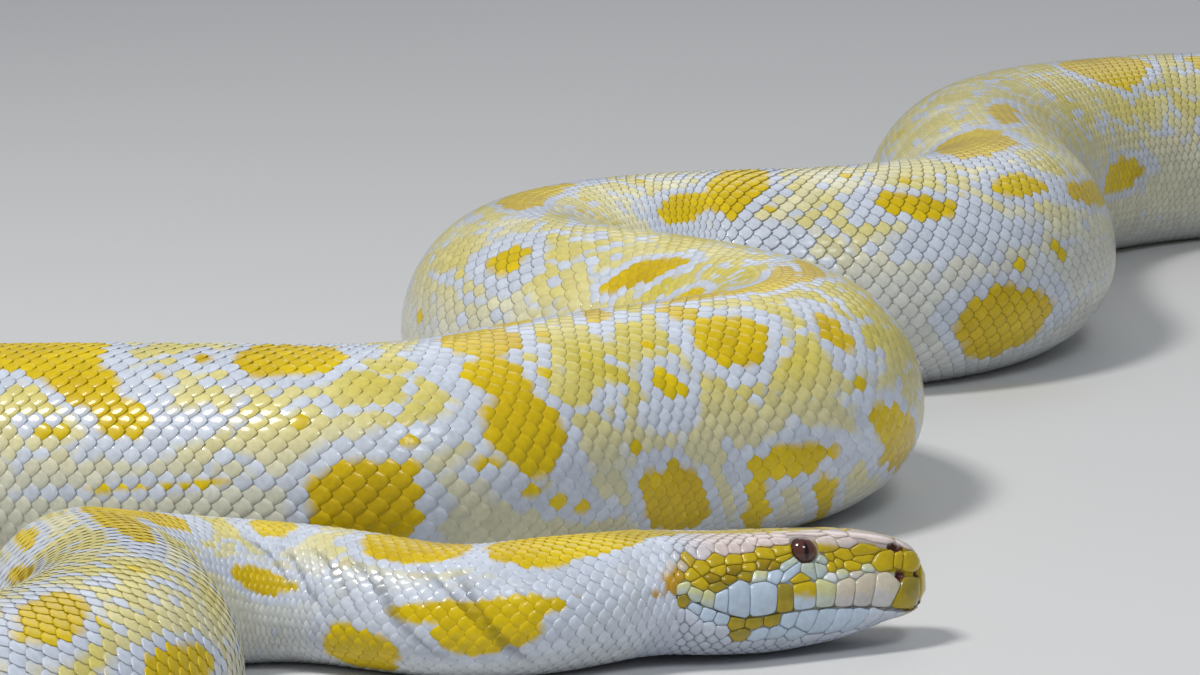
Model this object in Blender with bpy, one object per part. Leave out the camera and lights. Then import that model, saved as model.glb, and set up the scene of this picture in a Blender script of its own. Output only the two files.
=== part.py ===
"""A resting albino Burmese python at life size: head, jaw, eyes, neck, lengths of trunk and tail.

Sizes are in metres and turns in degrees. A distance is measured along the back, from the snout.
A height is above the floor. The body lies on flats at height 0.
"""

import math

import bmesh
import bpy
from mathutils import Vector

# Driving sizes
GAP = 0.0003
SIDES = 18
RING_SPACING = 0.026
WALK_STEP = 0.005
BEND_EASING = 0.06

# The head
HEAD_LENGTH = 0.120
HEADING = 192.0
HEAD_ROLL = 8.0
ROLL_ENDS = 0.180
MOUTH_CORNER = 0.098
EYE_RADIUS = 0.0050
EYE_SEGMENTS = 20
EYE_RINGS = 12
EYE_DISTANCE = 0.0515
EYE_SIDE = 0.0168
EYE_HEIGHT = 0.0387

# Each bend of the resting body, from the snout on: name, length, turn to the left.
ROUTE = (
    ("head", 0.12, 0),
    ("nape", 0.02, 36),
    ("throat", 0.075, -93),
    ("neck", 0.105, 103),
    ("shoulder", 0.095, 58),
    ("near_leg", 0.115, -49),
    ("loop_front_right", 0.17, -53),
    ("loop_front", 0.105, -69),
    ("loop_left", 0.175, -44),
    ("loop_back_left", 0.195, -15),
    ("loop_back", 0.16, -68),
    ("run", 0.13, -8),
    ("kink", 0.075, 58),
    ("right_bend_start", 0.13, -17),
    ("right_bend", 0.12, 89),
    ("crossing", 0.10, 29),
    ("left_bend_start", 0.13, -84),
    ("left_bend", 0.125, -74),
    ("far_run", 0.08, 42),
    ("far_bend", 0.155, 62),
    ("rise_start", 0.15, -12),
    ("rise", 0.18, -35),
    ("crest", 0.18, -33),
    ("far_turn", 0.40, -140),
    ("return", 0.20, 10),
    ("hind", 0.26, 60),
    ("vent", 0.14, -5),
    ("tail", 0.24, -80),
    ("tail_tip", 0.20, -70),
)

# Girth along the body: distance, width, height.
GIRTH = (
    (0.110, 0.066, 0.0490),
    (0.160, 0.063, 0.0500),
    (0.200, 0.061, 0.0490),
    (0.280, 0.066, 0.0545),
    (0.400, 0.084, 0.0800),
    (0.580, 0.097, 0.0850),
    (1.000, 0.111, 0.0930),
    (1.450, 0.120, 0.0995),
    (2.000, 0.126, 0.1080),
    (2.600, 0.130, 0.1190),
    (3.150, 0.116, 0.1030),
    (3.600, 0.084, 0.0750),
    (3.900, 0.060, 0.0540),
    (4.160, 0.035, 0.0320),
    (4.330, 0.007, 0.0065),
)

# The cross section of the body, as shares of its height: the widest place, and how far the
# lower curve would reach below it if the floor didn't flatten the belly.
WIDEST = 0.42
BELLY_REACH = 0.46

# The head's outline: distance, half width at the lips, half width at the brows, and the
# heights of the crown, the mouth line and the chin.
HEAD_OUTLINE = (
    (0.0000, 0.0050, 0.0040, 0.0290, 0.0160, 0.0148),
    (0.0030, 0.0100, 0.0075, 0.0360, 0.0144, 0.0130),
    (0.0080, 0.0138, 0.0105, 0.0398, 0.0142, 0.0116),
    (0.0165, 0.0172, 0.0128, 0.0430, 0.0153, 0.0100),
    (0.0305, 0.0208, 0.0150, 0.0454, 0.0168, 0.0057),
    (0.0470, 0.0242, 0.0172, 0.0461, 0.0174, 0.0028),
    (0.0635, 0.0280, 0.0190, 0.0464, 0.0166, 0.0010),
    (0.0795, 0.0315, 0.0212, 0.0465, 0.0161, 0.0010),
    (0.0920, 0.0330, 0.0235, 0.0470, 0.0205, 0.0016),
    (0.1060, 0.0332, 0.0252, 0.0478, 0.0255, 0.0026),
    (0.1200, 0.0322, 0.0242, 0.0482, 0.0250, 0.0030),
)
HEAD_RINGS = (0.0, 0.003, 0.008, 0.016, 0.026, 0.036, 0.047, 0.058, 0.071, 0.084)

# Where the body is parted: name of the length, and where it ends.
LENGTHS = (
    ("neck", 0.28),
    ("trunk_01", 0.54),
    ("trunk_02", 0.80),
    ("trunk_03", 1.08),
    ("trunk_04", 1.36),
    ("trunk_05", 1.58),
    ("trunk_06", 1.80),
    ("trunk_07", 2.02),
    ("trunk_08", 2.26),
    ("trunk_09", 2.58),
    ("trunk_10", 2.90),
    ("trunk_11", 3.14),
    ("trunk_12", 3.38),
    ("trunk_13", 3.64),
    ("trunk_14", 3.88),
    ("tail", 4.13),
    ("tail_tip", 4.33),
)

# Colours, as red, green and blue.
CREAM = (0.62, 0.60, 0.38)
YELLOW = (0.68, 0.46, 0.03)
LAVENDER = (0.52, 0.54, 0.62)
DARK_RED = (0.05, 0.012, 0.012)


def clear_scene():
    """Removes whatever the startup scene holds."""
    for obj in list(bpy.data.objects):
        bpy.data.objects.remove(obj, do_unlink=True)


def own_material(name, colour, roughness):
    """A plain glossy finish for one piece."""
    material = bpy.data.materials.new(name + "_finish")
    material.use_nodes = True
    shader = material.node_tree.nodes["Principled BSDF"]
    shader.inputs["Base Color"].default_value = (*colour, 1.0)
    shader.inputs["Roughness"].default_value = roughness
    shader.inputs["Metallic"].default_value = 0.0
    return material


def smooth_between(stations, distance):
    """The values of a table of stations at this distance, on one smooth curve through them."""
    last = len(stations) - 2
    start = 0
    while start < last and distance > stations[start + 1][0]:
        start += 1
    low = stations[start]
    high = stations[start + 1]
    before = stations[max(start - 1, 0)]
    after = stations[min(start + 2, len(stations) - 1)]
    span = high[0] - low[0]
    share = min(max((distance - low[0]) / span, 0.0), 1.0)
    values = []
    for column in range(1, len(low)):
        slope_low = (high[column] - before[column]) / (high[0] - before[0]) * span
        slope_high = (after[column] - low[column]) / (after[0] - low[0]) * span
        rise = high[column] - low[column]
        curve = slope_low - rise, rise - slope_high
        bow = share * (1 - share) * (curve[0] * (1 - share) + curve[1] * share)
        values.append(low[column] + rise * share + bow)
    return values


def eased_length(reach):
    """How much of a bend is behind a point this far past its start, eased over its first stretch."""
    half = BEND_EASING / 2
    if reach < -half:
        return 0.0
    if reach > half:
        return reach
    return (reach + half) ** 2 / (2 * BEND_EASING)


def heading_at(distance):
    """Which way the body runs at this distance, in radians."""
    heading = HEADING
    bend_start = 0.0
    for _, length, turn in ROUTE:
        behind = eased_length(distance - bend_start) - eased_length(distance - bend_start - length)
        heading += turn * behind / length
        bend_start += length
    return math.radians(heading)


def walk_route():
    """Points along the back's line on the floor, a short step apart, as (x, y)."""
    steps = round(sum(length for _, length, _ in ROUTE) / WALK_STEP)
    points = [Vector((0.0, 0.0))]
    for step in range(steps):
        heading = heading_at((step + 0.5) * WALK_STEP)
        points.append(points[-1] + WALK_STEP * Vector((math.cos(heading), math.sin(heading))))
    return points


ROUTE_POINTS = walk_route()


def placed(distance, side, height):
    """The point this far along the back, this far to the animal's right of it, at this height."""
    step = min(int(distance / WALK_STEP), len(ROUTE_POINTS) - 2)
    share = distance / WALK_STEP - step
    middle = ROUTE_POINTS[step].lerp(ROUTE_POINTS[step + 1], share)
    heading = heading_at(distance)
    return Vector((middle.x - side * math.sin(heading), middle.y + side * math.cos(heading), height))


def body_ring(distance):
    """One cross section of the body: an oval that the floor flattens below."""
    width, height = smooth_between(GIRTH, distance)
    ring = []
    for index in range(SIDES):
        angle = math.tau * (index + 0.5) / SIDES
        reach = (1 - WIDEST) if math.sin(angle) > 0 else BELLY_REACH
        level = max(0.0, height * (WIDEST + reach * math.sin(angle)))
        ring.append(placed(distance, width / 2 * math.cos(angle), level))
    return ring


def rolled(distance, side, height):
    """A point of the head, with its right side raised by the roll, and kept above the floor."""
    fade = min(max((ROLL_ENDS - distance) / (ROLL_ENDS - HEAD_LENGTH), 0.0), 1.0)
    roll = math.radians(HEAD_ROLL) * fade
    leant_side = side * math.cos(roll) - height * math.sin(roll)
    leant_height = height * math.cos(roll) + side * math.sin(roll)
    return placed(distance, leant_side, max(0.0, leant_height))


def mirrored(half):
    """A closed outline from its right half, which runs from bottom centre to top centre."""
    return half + [(-side, height) for side, height in half[-2:0:-1]]


def head_half(distance):
    """The right half of the head's whole outline, from chin to crown."""
    lip, brow, crown, mouth, chin = smooth_between(HEAD_OUTLINE, distance)
    rise = crown - mouth
    chin_half = [
        (0.0, chin),
        (0.55 * lip, chin),
        (0.90 * lip, chin + 0.45 * (mouth - chin)),
        (lip, mouth),
    ]
    crown_half = [
        (0.98 * lip, mouth + 0.30 * rise),
        (brow + 0.45 * (lip - brow), mouth + 0.66 * rise),
        (brow, crown - 0.10 * rise),
        (0.55 * brow, crown - 0.015 * rise),
        (0.0, crown),
    ]
    return chin_half, crown_half


def upper_ring(distance):
    """A section of the head above the mouth line."""
    chin_half, crown_half = head_half(distance)
    lip, mouth = chin_half[-1]
    level = mouth + GAP / 2
    palate = [(0.0, level), (0.5 * lip, level), (0.85 * lip, level), (lip, level)]
    return [rolled(distance, *point) for point in mirrored(palate + crown_half)]


def whole_ring(distance):
    """A section of the head behind the mouth, from the throat to the crown."""
    chin_half, crown_half = head_half(distance)
    return [rolled(distance, *point) for point in mirrored(chin_half + crown_half)]


def jaw_ring(distance):
    """A section of the lower jaw."""
    chin_half, _ = head_half(distance)
    lip, mouth = chin_half[-1]
    level = mouth - GAP / 2
    floor_of_mouth = [(lip, level), (0.5 * lip, level), (0.0, level)]
    outline = mirrored(chin_half[:-1] + floor_of_mouth)
    return [rolled(distance, *point) for point in outline]


def add_object(name, mesh, colour, roughness):
    """Puts a mesh in the scene as a named piece with its own finish."""
    obj = bpy.data.objects.new(name, mesh)
    bpy.context.scene.collection.objects.link(obj)
    obj.data.materials.append(own_material(name, colour, roughness))
    return obj


def loft(name, rings, colour, roughness=0.35):
    """A closed skin over a row of sections that have the same number of corners."""
    body = bmesh.new()
    rows = [[body.verts.new(point) for point in ring] for ring in rings]
    for row, following in zip(rows, rows[1:]):
        for index, corner in enumerate(row):
            after = (index + 1) % len(row)
            body.faces.new((corner, row[after], following[after], following[index]))
    body.faces.new(rows[0])
    body.faces.new(rows[-1])
    bmesh.ops.recalc_face_normals(body, faces=body.faces)
    mesh = bpy.data.meshes.new(name)
    body.to_mesh(mesh)
    body.free()
    return add_object(name, mesh, colour, roughness)


def ball(name, centre, radius, colour):
    """A sphere, for an eye or for the hollow that it sits in."""
    body = bmesh.new()
    bmesh.ops.create_uvsphere(body, u_segments=EYE_SEGMENTS, v_segments=EYE_RINGS, radius=radius)
    mesh = bpy.data.meshes.new(name)
    body.to_mesh(mesh)
    body.free()
    obj = add_object(name, mesh, colour, 0.08)
    obj.location = centre
    return obj


def cut_hollow(obj, centre, radius):
    """Takes a round hollow out of a piece."""
    cutter = ball("hollow", centre, radius, CREAM)
    bpy.context.view_layer.update()
    boolean = obj.modifiers.new("hollow", "BOOLEAN")
    boolean.operation = "DIFFERENCE"
    boolean.solver = "EXACT"
    boolean.object = cutter
    graph = bpy.context.evaluated_depsgraph_get()
    cut_mesh = bpy.data.meshes.new_from_object(obj.evaluated_get(graph))
    obj.modifiers.remove(boolean)
    obj.data = cut_mesh
    bpy.data.objects.remove(cutter, do_unlink=True)


def eye_centre(side):
    """The middle of one eye: side 1 is the animal's own right, and -1 is its left."""
    return rolled(EYE_DISTANCE, side * EYE_SIDE, EYE_HEIGHT)


def build_head():
    """The head above the mouth line, whole behind the mouth, with hollows for the eyes."""
    front = [upper_ring(distance) for distance in HEAD_RINGS]
    front.append(upper_ring(MOUTH_CORNER))
    behind = [MOUTH_CORNER + GAP, 0.105, 0.113, HEAD_LENGTH]
    rings = front + [whole_ring(distance) for distance in behind]
    head = loft("head", rings, LAVENDER)
    for side in (1, -1):
        cut_hollow(head, eye_centre(side), EYE_RADIUS + GAP)
    return head


def build_jaw():
    """The lower jaw, which ends at the corner of the mouth."""
    rings = [jaw_ring(distance) for distance in HEAD_RINGS]
    rings.append(jaw_ring(MOUTH_CORNER - GAP))
    return loft("lower_jaw", rings, LAVENDER)


def build_eyes():
    """Both eyes, under their clear scales."""
    ball("eye_right", eye_centre(1), EYE_RADIUS, DARK_RED)
    ball("eye_left", eye_centre(-1), EYE_RADIUS, DARK_RED)


def build_lengths():
    """The body behind the head, parted into its named lengths."""
    start = HEAD_LENGTH + GAP
    for index, (name, end) in enumerate(LENGTHS):
        spans = max(2, round((end - start) / RING_SPACING))
        stations = [start + (end - start) * step / spans for step in range(spans + 1)]
        colour = YELLOW if index % 2 else CREAM
        loft(name, [body_ring(distance) for distance in stations], colour)
        start = end + GAP


def centre_on_floor():
    """Moves every piece so that the middle of the whole is over the origin."""
    bpy.context.view_layer.update()
    pieces = list(bpy.context.scene.collection.objects)
    corners = [piece.matrix_world @ vertex.co for piece in pieces for vertex in piece.data.vertices]
    middle_x = (min(c.x for c in corners) + max(c.x for c in corners)) / 2
    middle_y = (min(c.y for c in corners) + max(c.y for c in corners)) / 2
    for piece in pieces:
        piece.location -= Vector((middle_x, middle_y, 0.0))


def build():
    """Builds the whole animal."""
    clear_scene()
    build_head()
    build_jaw()
    build_eyes()
    build_lengths()
    centre_on_floor()


build()
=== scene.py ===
"""A resting albino Burmese python: one skin, its coat of scales, the plates of the head, and eyes.

Sizes are in metres and turns in degrees. A place on the animal is given by its distance along the
back from the snout, and by its reach: the way round the body from the middle of the back, which is
positive on the animal's own right side and negative on its left.
"""

import math

import bpy
import numpy as np
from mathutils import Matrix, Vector
from mathutils.bvhtree import BVHTree


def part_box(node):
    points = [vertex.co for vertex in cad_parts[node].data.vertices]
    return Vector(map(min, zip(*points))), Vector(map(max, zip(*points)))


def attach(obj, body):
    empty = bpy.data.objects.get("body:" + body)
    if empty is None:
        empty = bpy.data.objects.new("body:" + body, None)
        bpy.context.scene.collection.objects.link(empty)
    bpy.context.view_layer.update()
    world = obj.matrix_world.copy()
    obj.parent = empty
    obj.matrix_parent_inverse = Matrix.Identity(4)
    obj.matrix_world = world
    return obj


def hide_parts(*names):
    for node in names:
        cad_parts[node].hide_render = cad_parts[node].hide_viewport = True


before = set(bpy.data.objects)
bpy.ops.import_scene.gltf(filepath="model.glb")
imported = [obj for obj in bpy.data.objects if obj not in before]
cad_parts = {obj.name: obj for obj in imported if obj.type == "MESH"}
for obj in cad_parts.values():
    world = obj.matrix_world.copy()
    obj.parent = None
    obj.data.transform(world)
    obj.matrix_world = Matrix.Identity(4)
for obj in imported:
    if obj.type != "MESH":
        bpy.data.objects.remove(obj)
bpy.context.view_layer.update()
rng = np.random.default_rng(7)

# ---------------------------------------------------------------- the body's line and girth
# Turns: which way the head points, and how far it leans over to its left.
HEADING = 192.0
HEAD_ROLL = 8.0

# Distances behind the snout.
MOUTH_CORNER = 0.098
PLATES_END = 0.112
HEAD_LENGTH = 0.120
SCUTES_START = 0.125
ROLL_ENDS = 0.180
VENT = 3.86
BODY_LENGTH = 4.33

# The body's shape: the length over which a bend starts or ends, how high its widest part lies, how
# far its belly bulges down from there, how far the snout's tip stands out, and the tip's height.
BEND_EASING = 0.06
WIDEST = 0.42
BELLY_REACH = 0.46
TIP_DEPTH = 0.0012
TIP_HEIGHT = 0.0225

# The eyes: where they lie, their size, the room that the plates round them leave, how finely they
# are made, and how far the front bulges.
EYE_DISTANCE = 0.0515
EYE_REACH = 0.0214
EYE_SIDE = 0.0168
EYE_HEIGHT = 0.0387
EYE_RADIUS = 0.0058
EYE_FLATNESS = 0.90
EYE_CLEARANCE = 0.0056
EYE_RINGS = 39
EYE_COLUMNS = 64
CORNEA = 0.045

# An eye's socket, from the eye's middle: where its edge ends, how wide the edge is, how deep it
# goes, and where its raised rim lies, with the rim's width and height.
SOCKET_REACH = 0.0047
SOCKET_EDGE = 0.0020
SOCKET_DEPTH = 0.0014
RIM_REACH = 0.0067
RIM_WIDTH = 0.0008
RIM_HEIGHT = 0.0006

# The coat: how deep the skin lies under it, the most rows of scales on one side of the back, how
# fast the rows spread apart towards the belly, how steeply a scale rises to its tip and at most how
# far, how much a blotch's edge varies from scale to scale, and the size of a scale's patch on the
# unwrapped skin.
COAT_DEPTH = 0.0011
HEAD_COAT_DEPTH = 0.0005
MOST_ROWS = 64
WIDER_BELOW = 0.002
SCALE_TILT = 0.125
MOST_TILT = 0.0014
MARK_JITTER = 0.0012
PATCH = 0.0030

# How close to the floor the scales, the belly's plates and the head's plates may come.
SCALES_OVER_FLOOR = 0.00005
SCUTES_OVER_FLOOR = 0.00003
PLATES_OVER_FLOOR = 0.0001

# How finely things are made: points of a half outline, the number of its spans before the mouth,
# points of a ring of skin, and the steps along the body's line.
PROFILE = 97
MOUTH_POINT = 5
AROUND = 96
WALK_STEP = 0.001

# Each bend of the resting body, from the snout on: length and turn to the left.
ROUTE = (
    (0.12, 0), (0.02, 36), (0.075, -93), (0.105, 103), (0.095, 58), (0.115, -49), (0.17, -53),
    (0.105, -69), (0.175, -44), (0.195, -15), (0.16, -68), (0.13, -8), (0.075, 58), (0.13, -17),
    (0.12, 89), (0.1, 29), (0.13, -84), (0.125, -74), (0.08, 42), (0.155, 62), (0.15, -12),
    (0.18, -35), (0.18, -33), (0.4, -140), (0.2, 10), (0.26, 60), (0.14, -5), (0.24, -80),
    (0.2, -70),
)

# Girth along the body: distance, width, height.
GIRTH = (
    (0.11, 0.066, 0.049), (0.16, 0.063, 0.05), (0.2, 0.061, 0.049), (0.28, 0.066, 0.0545),
    (0.4, 0.084, 0.08), (0.58, 0.097, 0.085), (1.0, 0.111, 0.093), (1.45, 0.12, 0.0995),
    (2.0, 0.126, 0.108), (2.6, 0.13, 0.119), (3.15, 0.116, 0.103), (3.6, 0.084, 0.075),
    (3.9, 0.06, 0.054), (4.16, 0.035, 0.032), (4.33, 0.007, 0.0065),
)

# The head's outline: distance, half width at the lips, half width at the brows, and the
# heights of the crown, the mouth line and the chin.
HEAD_OUTLINE = (
    (0.0, 0.005, 0.004, 0.029, 0.016, 0.0148), (0.003, 0.01, 0.0075, 0.036, 0.0144, 0.013),
    (0.008, 0.0138, 0.0105, 0.0398, 0.0142, 0.0116), (0.0165, 0.0172, 0.0128, 0.043, 0.0153, 0.01),
    (0.0305, 0.0208, 0.015, 0.0454, 0.0168, 0.0057),
    (0.047, 0.0242, 0.0172, 0.0461, 0.0174, 0.0028), (0.0635, 0.028, 0.019, 0.0464, 0.0166, 0.001),
    (0.0795, 0.0315, 0.0212, 0.0465, 0.0161, 0.001), (0.092, 0.033, 0.0235, 0.047, 0.0205, 0.0016),
    (0.106, 0.0332, 0.0252, 0.0478, 0.0255, 0.0026), (0.12, 0.0322, 0.0242, 0.0482, 0.025, 0.003),
)

# Rows of scales: distance, space between rows, space between scales in a row.
LATTICE = (
    (0.0, 0.003, 0.0042), (0.05, 0.0033, 0.0044), (0.09, 0.0038, 0.0054), (0.13, 0.0037, 0.0058),
    (0.2, 0.0035, 0.006), (0.3, 0.0038, 0.0064), (0.4, 0.0043, 0.007), (0.8, 0.0046, 0.0077),
    (1.45, 0.0047, 0.0082), (2.5, 0.0052, 0.0087), (3.3, 0.0049, 0.008), (3.8, 0.0041, 0.0064),
    (4.1, 0.0031, 0.005), (4.33, 0.0016, 0.003),
)

# Folds of the skin: start distance and reach, end distance and reach, depth, width.
FOLDS = (
    (0.163, 0.064, 0.187, 0.016, 0.0006, 0.003), (0.174, 0.046, 0.196, 0.014, 0.0003, 0.0026),
    (0.184, 0.056, 0.214, 0.016, 0.0005, 0.0028), (0.196, 0.04, 0.224, 0.012, 0.0005, 0.0026),
    (0.208, 0.038, 0.244, 0.014, 0.0003, 0.0026), (0.22, 0.042, 0.262, 0.017, 0.0005, 0.0028),
    (0.242, 0.036, 0.282, 0.014, 0.0004, 0.0026),
)


def held(share):
    """A share kept between 0 and 1."""
    return np.clip(share, 0, 1)


def eased(share):
    """A share from 0 to 1 that starts and ends softly."""
    return share * share * (3 - 2 * share)


def bump(place, middle, width):
    """A soft bump, 1 high at its middle."""
    return np.exp(-(((place - middle) / width) ** 2))


def turned(dx, dy, turn):
    """Steps along and across an axis that is turned by some degrees."""
    angle = np.radians(turn)
    return dx * np.cos(angle) + dy * np.sin(angle), dy * np.cos(angle) - dx * np.sin(angle)


def smooth_between(stations, distance):
    """The columns of a table at these distances, on one smooth curve through its stations."""
    table = np.array(stations)
    distance = np.asarray(distance, float)
    start = np.clip(np.searchsorted(table[:, 0], distance) - 1, 0, len(table) - 2)
    before = table[np.maximum(start - 1, 0)]
    low = table[start]
    high = table[start + 1]
    after = table[np.minimum(start + 2, len(table) - 1)]
    span = (high[..., 0] - low[..., 0])[..., None]
    share = held((distance - low[..., 0])[..., None] / span)
    rise = high - low
    slope_low = (high - before) / (high[..., :1] - before[..., :1]) * span
    slope_high = (after - low) / (after[..., :1] - low[..., :1]) * span
    bow = share * (1 - share) * ((slope_low - rise) * (1 - share) + (rise - slope_high) * share)
    values = low + rise * share + bow
    return [values[..., column] for column in range(1, table.shape[1])]


def heading_at(distance):
    """Which way the body runs at these distances, in radians."""
    heading = np.full_like(distance, HEADING)
    half = BEND_EASING / 2
    start = 0.0

    def gone(reach):
        ramp = (reach + half) ** 2 / (2 * BEND_EASING)
        return np.where(reach < -half, 0.0, np.where(reach > half, reach, ramp))

    for length, turn in ROUTE:
        heading += turn * (gone(distance - start) - gone(distance - start - length)) / length
        start += length
    return np.radians(heading)


WALK = np.arange(-0.01, BODY_LENGTH + 0.0105, WALK_STEP)
WALK_HEADING = heading_at(WALK)
_heading = heading_at(WALK[:-1] + WALK_STEP / 2)
WALK_X = np.concatenate([[0.0], np.cumsum(np.cos(_heading)) * WALK_STEP])
WALK_Y = np.concatenate([[0.0], np.cumsum(np.sin(_heading)) * WALK_STEP])
WALK_X -= np.interp(0.0, WALK, WALK_X)
WALK_Y -= np.interp(0.0, WALK, WALK_Y)
WALK_CURVE = np.gradient(WALK_HEADING, WALK_STEP)


def resampled(side, height, count):
    """Each outline walked again in equal steps, with its whole length."""
    steps = np.hypot(np.diff(side, axis=1), np.diff(height, axis=1))
    walked = np.concatenate([np.zeros((len(side), 1)), np.cumsum(steps, axis=1)], axis=1)
    shares = np.linspace(0, 1, count)
    new_side = np.empty((len(side), count))
    new_height = np.empty((len(side), count))
    for row in range(len(side)):
        wanted = shares * walked[row, -1]
        new_side[row] = np.interp(wanted, walked[row], side[row])
        new_height[row] = np.interp(wanted, walked[row], height[row])
    return new_side, new_height, walked


def head_profiles(distance):
    """Half outlines of the head from crown to chin, and which of their points is the mouth's."""
    lip, brow, crown, mouth, chin = smooth_between(HEAD_OUTLINE, distance)
    rise = crown - mouth
    zero = np.zeros_like(lip)
    cheek = 0.0012 * bump(distance, 0.082, 0.018) - 0.0013 * bump(distance, 0.030, 0.012)
    outline = (
        (zero, crown),
        (0.55 * brow, crown - 0.015 * rise),
        (brow, crown - 0.10 * rise),
        (brow + 0.45 * (lip - brow) + cheek, mouth + 0.66 * rise),
        (0.99 * lip, mouth + 0.30 * rise),
        (lip - 0.0004, mouth),
        (0.93 * lip, chin + 0.48 * (mouth - chin)),
        (0.55 * lip, chin),
        (zero, chin),
    )
    spans = len(outline) - 1
    per_span = (PROFILE - 1) // spans
    share = (np.arange(per_span) / per_span)[None, :]
    curves = []
    for axis, mirror in ((0, -1), (1, 1)):
        line = np.stack([point[axis] for point in outline], axis=1)
        line = np.concatenate([mirror * line[:, 1:2], line, mirror * line[:, -2:-1]], axis=1)
        parts = []
        for first in range(spans):
            a, b, c, d = (line[:, first + k, None] for k in range(4))
            bow = (2 * a - 5 * b + 4 * c - d) * share**2 + (3 * b - a - 3 * c + d) * share**3
            parts.append(0.5 * (2 * b + (c - a) * share + bow))
        parts.append(line[:, -2:-1])
        curves.append(np.concatenate(parts, axis=1))
    return curves[0], curves[1], MOUTH_POINT * per_span


def body_profiles(distance):
    """Half outlines of the body from back to belly."""
    width, height = smooth_between(GIRTH, distance)
    angle = np.linspace(math.pi / 2, -math.pi / 2, PROFILE)[None, :]
    reach = np.where(np.sin(angle) > 0, 1 - WIDEST, BELLY_REACH)
    level = np.maximum(0.0, height[:, None] * (WIDEST + reach * np.sin(angle)))
    return width[:, None] / 2 * np.cos(angle), level


def shrunk(side, height, depth):
    """Outlines moved inwards by the depth of the coat."""
    along_side = np.gradient(side, axis=1)
    along_height = np.gradient(height, axis=1)
    along_side[:, 0] = 1
    along_height[:, 0] = 0
    along_side[:, -1] = -1
    along_height[:, -1] = 0
    size = np.maximum(np.hypot(along_side, along_height), 1e-9)
    new_side = side + depth[:, None] * along_height / size
    new_height = height - depth[:, None] * along_side / size
    return np.maximum(new_side, 0), new_height


def build_profiles():
    """The table of the skin's half outlines, one row per station along the body."""
    tip = -TIP_DEPTH * np.sin(np.linspace(math.pi / 2, 0, 7)[:-1])
    head = np.arange(0.0, 0.16, 0.001)
    stations = np.concatenate([tip, head, np.arange(0.16, BODY_LENGTH + 1e-6, 0.0025)])
    on_body = np.clip(stations, 0, BODY_LENGTH)
    head_side, head_height, mouth_step = head_profiles(np.clip(on_body, 0, HEAD_LENGTH))
    body_side, body_height = body_profiles(on_body)
    share = eased(held((on_body - 0.100) / 0.055))
    depth = HEAD_COAT_DEPTH + (COAT_DEPTH - HEAD_COAT_DEPTH) * share
    taper = np.clip((BODY_LENGTH - on_body) / 0.10, 0.2, 1)
    head_side, head_height = shrunk(head_side, head_height, depth)
    body_side, body_height = shrunk(body_side, body_height, depth * taper)
    head_side, head_height, head_walk = resampled(head_side, head_height, PROFILE)
    body_side, body_height, _ = resampled(body_side, body_height, PROFILE)
    mouth = head_walk[:, mouth_step] / head_walk[:, -1]
    side = head_side + (body_side - head_side) * share[:, None]
    height = head_height + (body_height - head_height) * share[:, None]
    round_off = np.sqrt(held(1 - (np.minimum(stations, 0) / TIP_DEPTH) ** 2))
    round_off = np.where(stations < 0, np.maximum(round_off, 0.02), 1.0)
    side = side * round_off[:, None]
    height = TIP_HEIGHT + (height - TIP_HEIGHT) * round_off[:, None]
    half = np.hypot(np.diff(side, axis=1), np.diff(height, axis=1)).sum(axis=1)
    return stations, side, height, half, mouth


STATIONS, SIDES_OUT, HEIGHTS, HALVES, MOUTHS = build_profiles()


def half_round(distance):
    """How far it is round the body from the middle of the back to the middle of the belly."""
    return np.interp(distance, STATIONS, HALVES)


def mouth_reach(distance):
    """The reach at which the mouth line lies."""
    return np.interp(distance, STATIONS, MOUTHS) * half_round(distance)


def creases(distance, reach):
    """How far the folds of the bent neck sink into the skin, and how near each place is to one."""
    depth = np.zeros_like(distance)
    line = np.zeros_like(distance)
    for start, start_reach, end, end_reach, sink, width in FOLDS:
        along = np.array([end - start, end_reach - start_reach])
        length = np.hypot(*along)
        along = along / length
        forward = (distance - start) * along[0] + (reach - start_reach) * along[1]
        across = (reach - start_reach) * along[0] - (distance - start) * along[1]
        across = across + 0.0012 * np.sin(forward * 120 + start * 900)
        ends = held(forward / 0.012) * held((length - forward) / 0.012)
        depth = np.maximum(depth, sink * ends * bump(across, 0, width))
        line = np.maximum(line, ends * bump(across, 0, 0.0011))
    return depth, line


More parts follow.
